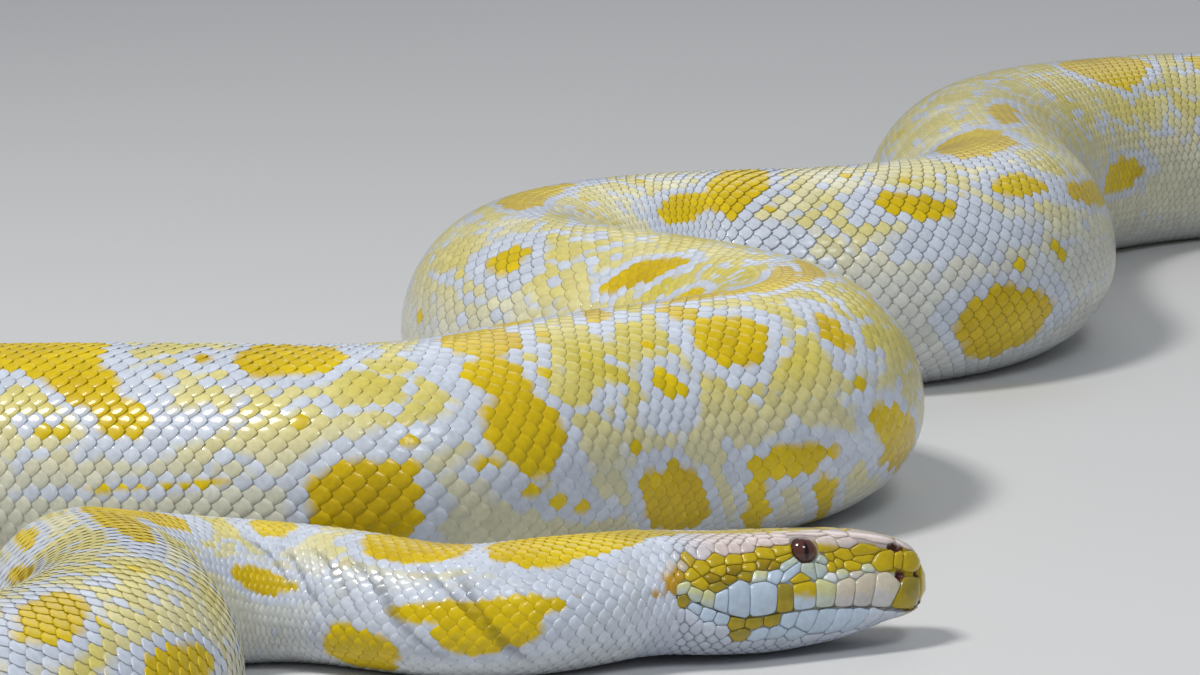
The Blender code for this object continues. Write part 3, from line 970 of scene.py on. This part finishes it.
# Plates of one side of the head, in millimetres: distance, reach, half length, half width,
# turn of the long axis, colour. Those of the upper jaw, then those of the lower.
UPPER_PLATES = (
    (9.6, 29.0, 6.5, 3.3, 72, "o"), (18.6, 32.5, 7.2, 4.6, 78, "s"),
    (28.2, 35.8, 6.6, 3.8, 82, "s"), (36.0, 38.0, 5.9, 3.8, 84, "s"),
    (44.2, 38.8, 5.6, 3.9, 86, "e"), (53.0, 40.2, 4.8, 5.0, 0, "t"),
    (61.0, 42.2, 4.6, 3.2, 88, "o"), (70.2, 43.0, 6.2, 5.4, 90, "p"),
    (80.4, 44.6, 6.0, 4.6, 90, "p"), (87.3, 46.2, 4.2, 2.9, 90, "p"),
    (92.6, 46.6, 3.2, 2.4, 90, "e"), (98.2, 45.2, 3.0, 2.7, 90, "e"),
    (6.2, 12.6, 6.2, 3.0, 66, "y"), (12.8, 12.6, 3.2, 1.15, 30, "n"),
    (12.0, 23.2, 2.0, 0.7, 65, "d"), (4.2, 16.0, 1.4, 0.6, 70, "d"),
    (17.0, 19.6, 6.6, 3.4, 30, "y"), (12.6, 17.6, 3.2, 2.2, 30, "y"), (7.4, 6.0, 4.2, 3.4, 30, "c"),
    (21.5, 7.4, 9.6, 7.4, 6, "c"), (26.2, 18.3, 5.6, 2.1, 22, "y"), (33.6, 16.6, 3.6, 1.7, 10, "c"),
    (42.0, 18.6, 5.0, 3.0, 4, "u"), (35.0, 21.7, 4.1, 1.9, 4, "y"), (26.8, 22.0, 4.6, 1.6, 20, "y"),
    (31.4, 25.6, 3.7, 2.0, 12, "y"), (25.6, 25.0, 2.6, 1.5, 20, "e"),
    (37.4, 25.5, 1.9, 2.0, 0, "y"), (40.7, 23.1, 1.9, 1.7, 0, "y"), (40.6, 27.3, 1.9, 2.0, 0, "y"),
    (36.6, 29.7, 2.7, 1.9, 22, "e"), (30.6, 28.9, 2.8, 1.4, 22, "s"),
    (44.0, 25.2, 2.3, 1.6, 12, "g"), (41.5, 31.5, 2.8, 1.7, 16, "w"),
    (45.4, 28.9, 2.5, 2.4, 0, "g"), (50.5, 29.8, 3.2, 3.1, 0, "g"), (54.2, 33.0, 3.6, 1.7, 14, "y"),
    (57.6, 31.6, 5.0, 1.9, 42, "p"), (58.6, 28.0, 4.4, 1.7, 38, "g"),
    (60.6, 22.8, 3.7, 2.0, 8, "y"), (59.6, 25.7, 3.4, 1.4, 28, "y"),
    (67.6, 24.7, 3.9, 2.4, 15, "y"), (64.3, 29.4, 2.7, 1.5, 25, "b"),
    (69.0, 29.0, 2.9, 2.1, 28, "b"), (74.1, 27.0, 3.2, 2.2, 25, "y"),
    (74.6, 30.8, 3.1, 1.9, 32, "y"), (80.2, 28.6, 3.5, 2.1, 28, "y"),
    (81.2, 33.0, 3.3, 2.1, 30, "b"), (76.6, 34.4, 3.2, 1.7, 10, "o"),
    (71.0, 34.2, 3.1, 1.9, 15, "e"), (64.6, 33.2, 3.6, 2.0, 34, "p"),
    (88.4, 30.8, 3.4, 2.1, 28, "y"), (87.4, 34.6, 3.0, 2.0, 30, "y"),
    (83.8, 37.2, 3.0, 1.8, 25, "b"), (90.2, 38.0, 3.1, 2.0, 25, "b"),
    (94.2, 34.4, 3.1, 2.1, 25, "y"), (88.6, 41.0, 3.4, 1.9, 15, "o"),
    (95.6, 41.2, 3.2, 2.0, 18, "y"), (99.4, 38.0, 3.0, 2.1, 22, "y"),
    (104.6, 43.4, 3.3, 2.3, 28, "e"), (104.4, 48.4, 3.2, 2.2, 15, "o"),
    (35.4, 7.6, 4.2, 6.0, 0, "c"), (50.4, 12.2, 7.4, 3.4, 2, "c"), (59.5, 12.6, 3.4, 3.0, 0, "c"),
    (58.6, 6.0, 4.6, 3.8, 0, "c"), (66.4, 7.4, 3.4, 3.0, 0, "c"), (65.6, 13.4, 3.0, 2.6, 0, "c"),
    (60.6, 18.2, 3.2, 2.2, 0, "c"), (66.6, 19.4, 3.0, 2.1, 6, "c"),
)
LOWER_PLATES = (
    (4.0, 33.5, 3.8, 2.6, 60, "s"), (9.4, 39.6, 4.2, 2.5, 60, "s"), (14.6, 42.8, 4.6, 2.5, 62, "l"),
    (20.0, 45.0, 5.0, 2.6, 64, "l"), (25.6, 46.6, 5.2, 2.8, 64, "l"),
    (31.8, 48.2, 5.4, 3.0, 62, "p"), (38.4, 49.2, 5.6, 3.2, 62, "p"),
    (45.6, 50.2, 5.8, 3.6, 60, "p"), (53.2, 50.4, 5.0, 3.6, 48, "p"),
    (60.2, 50.0, 3.7, 2.9, 30, "p"), (66.8, 50.6, 4.0, 2.2, 14, "o"),
    (74.2, 52.4, 4.2, 2.2, 16, "o"), (81.4, 53.4, 3.6, 2.3, 10, "o"),
    (87.2, 53.2, 3.0, 2.3, 0, "p"), (92.8, 51.9, 2.9, 2.3, -10, "p"),
    (98.2, 50.9, 2.9, 2.3, -5, "p"), (57.0, 55.0, 4.2, 2.8, 20, "p"),
    (64.6, 55.4, 4.2, 2.7, 20, "p"), (72.4, 57.2, 4.2, 2.7, 24, "p"),
    (80.0, 58.4, 4.2, 2.6, 28, "o"), (49.0, 57.8, 4.0, 2.8, 30, "l"),
    (41.0, 57.4, 4.0, 2.7, 30, "l"), (33.0, 56.0, 4.0, 2.6, 30, "l"),
)

# Plates that lie across the middle of the head.
MIDDLE_PLATES = ((46.5, 0.0, 7.6, 6.4, 0, "c"),)

# How far the small scales keep from a plate's edge, from an eye's middle and from the mouth line,
# and how much their places vary.
PLATE_ROOM = 0.0016
EYE_ROOM = 0.0068
LIP_ROOM = 0.0020
SCATTER = 0.00025


def small_plate_colour(distance, reach):
    """Colours of the small scales of the head."""
    side = np.abs(reach)
    wander = 2.0 * waves(distance, reach, 0.010, 3.0)
    # The spear mark of the crown and nape.
    places = [0.02, 0.045, 0.07, 0.09, 0.097, 0.102, 0.109, 0.122, 0.133]
    spear_half = np.interp(distance, places, [1, 7, 8.5, 6, 7, 13, 18.5, 21.5, 20.5])
    spear = held((spear_half + wander - side * 1000) / 1.2 + 0.5)
    # The band from the eye to the corner of the jaw, which breaks up at its end.
    band_middle = np.interp(distance, [0.056, 0.09, 0.12], [24.5, 34.0, 42.0])
    band_half = np.interp(distance, [0.056, 0.09, 0.112, 0.122], [3.0, 7.0, 6.5, 0.5])
    away = np.abs(side * 1000 - band_middle) + wander
    band = held((band_half - away) / 1.2 + 0.5) * (distance > 0.056)
    back_of_jaw = held((distance - 0.098) / 0.010)
    band = band * (1 - back_of_jaw * held(0.42 + 1.1 * waves(distance, reach, 0.0042, 7.0)))
    colour = mixed(CROWN, LAVENDER, held((distance - 0.085) / 0.02))
    colour = mixed(colour, LAVENDER * 0.97, held((side - 0.036) / 0.006))
    colour = mixed(colour, mixed(HEAD_YELLOW, ORANGE, back_of_jaw), band)
    return mixed(colour, HEAD_YELLOW, spear)


def gather_seeds():
    """All plates of the head as numbers: where they lie, how big they are, and their colours."""
    rows = []
    for group, table in ((0, UPPER_PLATES), (1, LOWER_PLATES)):
        for place, reach, long_half, short_half, turn, key in table:
            for side in (1, -1):
                row = (place, side * reach, long_half, short_half, side * turn, group)
                rows.append((row, key))
    rows += [((*plate[:5], 0), plate[5]) for plate in MIDDLE_PLATES]
    plates = np.array([row for row, _ in rows], float)
    plates[:, :4] /= 1000
    distance, reach, spacing, period = lattice(0.008, PLATES_END + 0.012)
    keep = np.ones(len(distance), bool)
    for place, plate_reach, long_half, short_half, turn, _ in plates:
        u, v = turned(distance - place, reach - plate_reach, turn)
        keep &= np.hypot(u / (long_half + PLATE_ROOM), v / (short_half + PLATE_ROOM)) > 1.0
    for side in (1, -1):
        keep &= np.hypot(distance - EYE_DISTANCE, reach - side * EYE_REACH) > EYE_ROOM
    from_lips = np.abs(np.abs(reach) - mouth_reach(distance))
    keep &= (distance >= MOUTH_CORNER) | (from_lips >= LIP_ROOM)
    distance, reach, spacing, period = (row[keep] for row in (distance, reach, spacing, period))
    distance = distance + rng.normal(0, SCATTER, len(distance))
    reach = reach + rng.normal(0, SCATTER, len(reach))
    group = (np.abs(reach) > mouth_reach(distance)).astype(float)
    zero = np.zeros(len(distance))
    small = np.stack([distance, reach, period * 0.5, spacing * 0.86, zero, group], axis=1)
    return np.concatenate([plates, small]), [key for _, key in rows]


def clipped(polygon, normal, limit):
    """The part of a flat polygon on the near side of a line."""
    reach = polygon @ normal - limit
    kept = []
    for index, corner in enumerate(polygon):
        after = (index + 1) % len(polygon)
        if reach[index] <= 0:
            kept.append(corner)
        if reach[index] * reach[after] < 0:
            share = reach[index] / (reach[index] - reach[after])
            kept.append(corner + (polygon[after] - corner) * share)
    return np.array(kept).reshape(-1, 2)


def rounded(polygon, count, sharpness):
    """A polygon with its corners cut round, as a number of evenly spaced points."""
    for share in (sharpness, 0.25):
        after = np.roll(polygon, -1, axis=0)
        near = polygon + (after - polygon) * share
        far = after + (polygon - after) * share
        polygon = np.stack([near, far], axis=1).reshape(-1, 2)
    closed = np.concatenate([polygon, polygon[:1]])
    walked = np.concatenate([[0], np.cumsum(np.hypot(*np.diff(closed, axis=0).T))])
    wanted = np.arange(count) / count * walked[-1]
    return np.stack([np.interp(wanted, walked, closed[:, axis]) for axis in (0, 1)], axis=1)


def mouth_curve():
    """The mouth line from one corner round the snout to the other."""
    distances = np.arange(0.0, MOUTH_CORNER, 0.001)[::-1]
    right = surface(distances, mouth_reach(distances))
    left = surface(distances[::-1], -mouth_reach(distances[::-1]))
    return np.concatenate([right, left])


HEAD_SEEDS, HEAD_KEYS = gather_seeds()


def ground_colour(distance, reach):
    """Colours of the head's skin: those of the plates that lie nearest."""
    distances = distance.ravel()
    reaches = reach.ravel()
    colour = small_plate_colour(distances, reaches)
    plates = HEAD_SEEDS[: len(HEAD_KEYS)]
    dx = distances[:, None] - plates[:, 0]
    dy = reaches[:, None] - plates[:, 1]
    u, v = turned(dx, dy, plates[:, 4])
    apart = (u / (plates[:, 2] + 0.0008)) ** 2 + (v / (plates[:, 3] + 0.0008)) ** 2
    nearest = apart.argmin(axis=1)
    for index, key in enumerate(HEAD_KEYS):
        if key != "c":
            own = (nearest == index) & (apart[:, index] < 2.6)
            colour[own] = mixed(*PLATE_COLOURS[key], 0.5)
    return colour.reshape(distance.shape + (3,))


def turned_over(vector, facing, wanted):
    """A vector turned by the shortest way that brings one facing to another."""
    axis = np.cross(facing, wanted)
    share = facing @ wanted
    return vector * share + np.cross(axis, vector) + axis * (axis @ vector) / (1 + share)


# How far a plate's edge keeps from its neighbour's and from the mouth line, and the area of the
# smallest plate and of the smallest one with many points.
PLATE_GAP = 0.00004
LIP_GAP = 0.00020
SMALLEST_PLATE = 1.5e-6
BIG_PLATE = 22e-6

# How high a plate stands: the least, the share of its size that is added, and the most.
PLATE_LEAST = 0.00022
PLATE_RISE = 0.20
PLATE_MOST = 0.00082

# Rings of points of a plate: how far out they lie, and their share of its height.
BIG_RINGS = ((1.0, -0.25), (0.988, 0.34), (0.94, 0.62), (0.80, 0.86), (0.45, 0.98))
SMALL_RINGS = ((1.0, -0.2), (0.965, 0.36), (0.82, 0.74), (0.48, 0.96))

# Painted shade: how dark the edges of plates are painted, by colour, for the grooves between them.
PAINTED_EDGE_SHADES = {None: 0.66, "y": 0.52, "o": 0.52, "b": 0.52}
LIP_BROWN = paint(150, 118, 70)


def build_head_plates(skin_tree):
    """The plates and small scales of the head, each fitted between its neighbours."""
    seeds = HEAD_SEEDS
    middle = surface(seeds[:, 0], seeds[:, 1])
    along, round_body, out = directions(seeds[:, 0], seeds[:, 1])
    long_way, short_way = turned(along, round_body, seeds[:, 4:5])
    # The plate on the very tip of the snout faces forwards.
    heading = math.radians(HEADING)
    tip = surface(np.array([-TIP_DEPTH * 0.99]), np.array([0.0]))[0] - np.array([0, 0, 0.0005])
    middle = np.concatenate([middle, [tip]])
    long_way = np.concatenate([long_way, [[0.0, 0.0, -1.0]]])
    short_way = np.concatenate([short_way, [[-math.sin(heading), math.cos(heading), 0.0]]])
    out = np.concatenate([out, [[-math.cos(heading), -math.sin(heading), 0.0]]])
    seeds = np.concatenate([seeds, [[0.0, 0.0, 0.0058, 0.0052, 0.0, 0.0]]])
    lips = mouth_curve()
    radius = seeds[:, 2:4].max(axis=1)

    def laid_flat(vector, i):
        """A vector as its steps along and across one plate."""
        return np.array([vector @ long_way[i], vector @ short_way[i]])

    def border_with(i, j):
        """The line where two plates meet: the way across it, and how far off it lies."""
        apart = middle[j] - middle[i]
        chord = unit(laid_flat(apart, i))
        back = unit(laid_flat(apart, j))
        slope_i = chord / seeds[i, 2:4] ** 2
        slope_j = back / seeds[j, 2:4] ** 2
        radius_i = 1 / math.sqrt(slope_i @ chord)
        radius_j = 1 / math.sqrt(slope_j @ back)
        normal_j = long_way[j] * slope_j[0] + short_way[j] * slope_j[1]
        normal_j = laid_flat(turned_over(normal_j, out[j], out[i]), i)
        normal = unit(unit(slope_i) + unit(normal_j))
        border = chord * (np.linalg.norm(apart) * radius_i / (radius_i + radius_j))
        return normal, border @ normal

    def cut_by_lips(polygon, i):
        """The part of a plate that lies on its own side of the mouth line."""
        lip = np.argmin(np.linalg.norm(lips - middle[i], axis=1))
        way = unit(laid_flat(lips[min(lip + 3, len(lips) - 1)] - lips[max(lip - 3, 0)], i))
        chord = lips[lip] - middle[i]
        spot = unit(laid_flat(chord, i)) * np.linalg.norm(chord)
        if np.hypot(*spot) >= radius[i] * 2.6:
            return polygon
        normal = np.array([-way[1], way[0]])
        if normal @ spot < 0:
            normal = -normal
        return clipped(polygon, normal, spot @ normal - LIP_GAP)

    def cut_by_eye(polygon, i, eye):
        """The part of a plate that leaves room for an eye."""
        gap = eye - middle[i]
        outside = out[i] @ unit(eye - MIDDLE_OF_HEAD) > 0.2
        if np.linalg.norm(gap) >= radius[i] + 0.009 or not outside:
            return polygon
        spot = laid_flat(gap, i)
        room = math.sqrt(max(EYE_CLEARANCE**2 - (0.5 * (gap @ out[i])) ** 2, 0.0))
        return clipped(polygon, unit(spot), np.hypot(*spot) - room)

    pieces = {"right": [], "left": []}
    turn = np.arange(24) / 24 * math.tau
    circle = np.stack([np.cos(turn), np.sin(turn)], axis=1)
    keys = HEAD_KEYS + [None] * (len(HEAD_SEEDS) - len(HEAD_KEYS)) + ["y"]
    for i, key in enumerate(keys):
        if seeds[i, 0] > PLATES_END or key in BARE:
            continue
        polygon = circle * seeds[i, 2:4] * (1.8 if key is None else 2.5)
        far = np.linalg.norm(middle - middle[i], axis=1)
        for j in np.nonzero((far < (radius + radius[i]) * 1.5) & (far > 1e-6))[0]:
            across_mouth = seeds[j, 5] != seeds[i, 5]
            if across_mouth and min(seeds[i, 0], seeds[j, 0]) < MOUTH_CORNER:
                continue
            if out[i] @ out[j] >= -0.2:
                normal, limit = border_with(i, j)
                polygon = clipped(polygon, normal, limit - PLATE_GAP)
        if seeds[i, 0] < MOUTH_CORNER + 0.003:
            polygon = cut_by_lips(polygon, i)
        for eye in EYES.values():
            polygon = cut_by_eye(polygon, i, eye)
        after = np.roll(polygon, -1, axis=0)
        area = 0.5 * abs(polygon[:, 0] @ after[:, 1] - polygon[:, 1] @ after[:, 0])
        if area >= SMALLEST_PLATE:
            ways = (middle[i], long_way[i], short_way[i], out[i])
            side = "right" if seeds[i, 1] >= 0 else "left"
            pieces[side].append(one_plate(seeds[i], key, polygon, area, ways, skin_tree))
    return pieces


def one_plate(seed, key, polygon, area, ways, skin_tree):
    """Points, colours and unwrapped places of one plate of the head."""
    middle, long_way, short_way, out = ways
    place, reach, _, _, turn, _ = seed
    big = area > BIG_PLATE
    count = 28 if big else 12
    rings = BIG_RINGS if big else SMALL_RINGS
    outline = rounded(polygon, count, 0.10 if big else 0.15)
    centre = outline.mean(axis=0)
    flat = [centre + (outline - centre) * share for share, _ in rings]
    flat = np.concatenate(flat + [centre[None, :]])
    top = min(PLATE_LEAST + math.sqrt(area / math.pi) * PLATE_RISE, PLATE_MOST)
    heights = np.concatenate([np.full(count, lift * top) for _, lift in rings] + [[top]])
    points = np.empty((len(flat), 3))
    for index, (spot, lift) in enumerate(zip(flat, heights)):
        away = spot[0] * long_way + spot[1] * short_way
        wanted = np.linalg.norm(away)
        stretch = 1.0
        for _ in range(3):
            aim = Vector(middle + away * stretch + out * 0.001)
            found, normal, _, _ = skin_tree.find_nearest(aim)
            reached = np.linalg.norm(np.array(found) - middle)
            if wanted < 0.0008 or reached < 1e-6:
                break
            stretch *= min(wanted / reached, 1.3)
        points[index] = np.array(found + normal * lift)
    points[:, 2] = np.maximum(points[:, 2], PLATES_OVER_FLOOR)
    tone = rng.uniform(0.93, 1.06)
    ahead, aside = turned(flat[:, 0], flat[:, 1], -turn)
    if key is None:
        colours = np.tile(small_plate_colour(place, reach), (len(flat), 1))
    elif key == "c":
        colours = small_plate_colour(place + ahead, reach + aside)
    else:
        down = aside if reach >= 0 else -aside
        colours = mixed(*PLATE_COLOURS[key], held(down / 0.0022 + 0.5))
    colours = colours * tone
    if key == "s":
        colours = mixed(colours, LIP_BROWN, rng.uniform(0.10, 0.24))
    # Painted shade: the two outer rings of points are painted darker.
    painted_edge_shade = np.ones(len(flat))
    painted_edge_shade[:count] = PAINTED_EDGE_SHADES.get(key, 0.62)
    painted_edge_shade[count : 2 * count] = 0.94 if key is None else 0.90
    uv = np.array([0.04 + place * 6.0, 0.5 + reach * 4.6]) + flat * 4.0
    quads, triangles = dome_faces(len(rings), count)
    if np.cross(long_way, short_way) @ out < 0:
        quads, triangles = quads[:, ::-1], triangles[:, ::-1]
    return points, colours * painted_edge_shade[:, None], uv, quads, triangles


def join_plates(name, plates):
    """All plates of one side of the head as one mesh."""
    points, colours, uvs, quads, triangles = zip(*plates)
    offsets = np.cumsum([0] + [len(part) for part in points])
    faces = [
        np.concatenate([part + offset for part, offset in zip(parts, offsets)])
        for parts in (quads, triangles)
    ]
    return new_piece(
        name, np.concatenate(points), faces, np.concatenate(colours), np.concatenate(uvs)
    )


# ---------------------------------------------------------------- eyes
def build_eye(name, side):
    """A glossy red-brown eye with a standing pupil."""
    polar = np.linspace(0.0, math.pi, EYE_RINGS + 2)[1:-1]
    turn = np.arange(EYE_COLUMNS) / EYE_COLUMNS * math.tau
    size = EYE_RADIUS * (1 + CORNEA * bump(polar, 0, 0.6))
    x = np.sin(polar)[:, None] * np.cos(turn)[None, :] * size[:, None]
    y = np.sin(polar)[:, None] * np.sin(turn)[None, :] * size[:, None]
    z = np.repeat((np.cos(polar) * size)[:, None], EYE_COLUMNS, axis=1)
    local = np.stack([x, y, z], axis=-1).reshape(-1, 3)
    local = np.concatenate([local, [[0, 0, EYE_RADIUS * (1 + CORNEA)], [0, 0, -EYE_RADIUS]]])
    local[:, 2] *= EYE_FLATNESS
    slit = np.abs(local[:, 0]) / 0.00080 + (np.abs(local[:, 1]) / 0.0036) ** 2
    pupil = held(2.6 - 1.8 * slit) * (local[:, 2] > 0)
    out = np.hypot(local[:, 0], local[:, 1]) / EYE_RADIUS
    streak = 0.5 + 0.5 * np.sin(np.arctan2(local[:, 1], local[:, 0]) * 23)
    iris = mixed(EYE_RED, IRIS_BROWN, held(0.4 + 0.4 * streak * (1 - out)))
    colour = mixed(mixed(iris, PUPIL, pupil), PUPIL, held((out - 0.86) / 0.10) * 0.8)
    heading = math.radians(HEADING)
    outward = Vector((-math.sin(heading), math.cos(heading), 0.0)) * side
    forward = Vector((-math.cos(heading), -math.sin(heading), 0.0))
    axis = (outward * 0.95 + forward * 0.12 + Vector((0, 0, 0.20 + 0.10 * side))).normalized()
    up = (Vector((0, 0, 1)) - axis * axis.z).normalized()
    world = local @ np.array([up.cross(axis), up, axis]) + EYES[side]
    return new_piece(name, world, closed_tube(EYE_RINGS, EYE_COLUMNS), colour)


# ---------------------------------------------------------------- materials
def glossy_material(name, roughness, coat, grain_strength):
    """A glossy scaly finish that takes its colours from the markings."""
    material = bpy.data.materials.new(name)
    material.use_nodes = True
    nodes = material.node_tree.nodes
    links = material.node_tree.links

    def add_node(kind, **values):
        node = nodes.new(kind)
        for socket, value in values.items():
            node.inputs[socket.replace("_", " ")].default_value = value
        return node

    settings = {
        "Roughness": roughness,
        "Coat Weight": coat,
        "Coat Roughness": 0.09,
        "Coat IOR": 1.40,
        "IOR": 1.40,
        "Specular IOR Level": 0.30,
    }
    shader = nodes["Principled BSDF"]
    for socket, value in settings.items():
        shader.inputs[socket].default_value = value
    colours = nodes.new("ShaderNodeAttribute")
    colours.attribute_name = "Markings"
    place = nodes.new("ShaderNodeTexCoord").outputs["Object"]
    mottle = add_node("ShaderNodeTexNoise", Scale=420.0, Detail=3.0)
    links.new(place, mottle.inputs["Vector"])
    spread = add_node("ShaderNodeMapRange", From_Min=0.3, From_Max=0.7, To_Min=0.90, To_Max=1.06)
    links.new(mottle.outputs["Fac"], spread.inputs["Value"])
    tinted = nodes.new("ShaderNodeVectorMath")
    tinted.operation = "SCALE"
    links.new(colours.outputs["Color"], tinted.inputs[0])
    links.new(spread.outputs["Result"], tinted.inputs["Scale"])
    links.new(tinted.outputs["Vector"], shader.inputs["Base Color"])
    grain = add_node("ShaderNodeTexNoise", Scale=1600.0, Detail=2.0)
    links.new(place, grain.inputs["Vector"])
    rough = add_node("ShaderNodeBump", Strength=grain_strength, Distance=0.0002)
    links.new(grain.outputs["Fac"], rough.inputs["Height"])
    links.new(rough.outputs["Normal"], shader.inputs["Normal"])
    return material


def finish_piece(obj, material, replaced=()):
    """Gives a piece its material, hangs it on the body's root, and hides the parts that it
    replaces.
    """
    obj.data.materials.append(material)
    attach(obj, "root")
    if replaced:
        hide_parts(*replaced)


# ---------------------------------------------------------------- building
skin_material = glossy_material("python_skin_finish", 0.42, 0.2, 0.15)
scale_material = glossy_material("python_scale_finish", 0.38, 0.46, 0.24)
plate_material = glossy_material("python_plate_finish", 0.30, 1.0, 0.20)
eye_material = glossy_material("python_eye_finish", 0.08, 1.0, 0.02)
flesh = [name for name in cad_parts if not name.startswith("eye_")]
skin = build_skin()
finish_piece(skin, skin_material, flesh)

skin_tree = BVHTree.FromPolygons(
    [vertex.co for vertex in skin.data.vertices],
    [polygon.vertices for polygon in skin.data.polygons],
)
for side, plates in build_head_plates(skin_tree).items():
    finish_piece(join_plates("head_plates_" + side, plates), plate_material)

# Rings of points of a scale: how far out they lie, and their height.
DOMED = ((1.0, 0.0), (0.88, 0.078), (0.52, 0.116))
LOW = ((1.0, 0.0), (0.80, 0.074))

# Each piece of the coat: name, where it starts and ends, points round a scale, its rings.
COAT_PARTS = (
    ("neck_scales", PLATES_END - 0.0056, 0.44, 10, DOMED),
    ("fore_scales", 0.44, 1.00, 8, LOW),
    ("front_body_scales", 1.00, 1.30, 8, LOW),
    ("near_body_scales", 1.30, 1.60, 10, DOMED),
    ("mid_body_scales", 1.60, 1.90, 10, DOMED),
    ("full_body_scales", 1.90, 2.45, 9, LOW),
    ("rear_body_scales", 2.45, 3.00, 8, LOW),
    ("hind_body_scales", 3.00, 3.60, 8, LOW),
    ("tail_scales", 3.60, 4.322, 7, LOW),
)
for part in COAT_PARTS:
    finish_piece(coat_piece(*part), scale_material)
finish_piece(build_scutes("belly_scutes", SCUTES_START, VENT, WHOLE), scale_material)
finish_piece(build_scutes("tail_scutes", VENT + 0.008, 4.315, PAIRED), scale_material)
finish_piece(build_eye("right_eye", 1), eye_material, ("eye_right",))
finish_piece(build_eye("left_eye", -1), eye_material, ("eye_left",))


# ---------------------------------------------------------------- floor, light and camera
FLOOR_REACH = 12.0
FLOOR_GREY = (0.62, 0.62, 0.62, 1)
SKY_BLUE = (0.80, 0.86, 0.95, 1)
SKY_STRENGTH = 0.29

# Lights: name, place, where it points, width, power, colour.
LIGHTS = (
    ("key", (-1.4, -1.0, 2.6), (0.0, 0.1, 0.0), 0.6, 60, (1.0, 0.98, 0.95)),
    ("fill", (0.7, -1.9, 2.3), (0.0, -0.2, 0.0), 0.7, 20, (0.92, 0.96, 1.0)),
    ("back", (0.6, 3.2, 2.6), (0.1, 0.3, 0.0), 2.4, 20, (1.0, 1.0, 1.0)),
)

# The camera's place from the snout, its lens and sensor in millimetres, and how far it looks down.
CAMERA_PLACE = (-0.1255, -1.597, 0.401)
CAMERA_LENS = 126.0
CAMERA_SENSOR = 36.0
CAMERA_DIP = 9.959


def build_floor():
    """A plain pale floor."""
    mesh = bpy.data.meshes.new("floor")
    far = FLOOR_REACH
    mesh.from_pydata(
        [(-far, -far, 0), (far, -far, 0), (far, far, 0), (-far, far, 0)], [], [(0, 1, 2, 3)]
    )
    material = bpy.data.materials.new("floor_finish")
    material.use_nodes = True
    shader = material.node_tree.nodes["Principled BSDF"]
    shader.inputs["Base Color"].default_value = FLOOR_GREY
    shader.inputs["Roughness"].default_value = 0.85
    mesh.materials.append(material)
    linked("floor", mesh)


def add_light(name, place, aim, size, power, colour):
    """A soft square light."""
    data = bpy.data.lights.new(name, "AREA")
    data.shape = "SQUARE"
    data.size = size
    data.energy = power
    data.color = colour
    light = linked(name, data)
    light.location = place
    light.rotation_euler = (Vector(aim) - Vector(place)).to_track_quat("-Z", "Y").to_euler()


build_floor()
world = bpy.data.worlds.new("studio")
world.use_nodes = True
background = world.node_tree.nodes["Background"]
background.inputs["Color"].default_value = SKY_BLUE
background.inputs["Strength"].default_value = SKY_STRENGTH
bpy.context.scene.world = world
for light in LIGHTS:
    add_light(*light)

camera_data = bpy.data.cameras.new("camera")
camera_data.sensor_width = CAMERA_SENSOR
camera_data.lens = CAMERA_LENS
camera = linked("camera", camera_data)
camera.location = Vector(SHIFT) + Vector(CAMERA_PLACE)
camera.rotation_euler = (math.radians(90 - CAMERA_DIP), 0.0, 0.0)
bpy.context.scene.camera = camera
bpy.context.scene.view_settings.view_transform = "Standard"

bpy.context.view_layer.update()
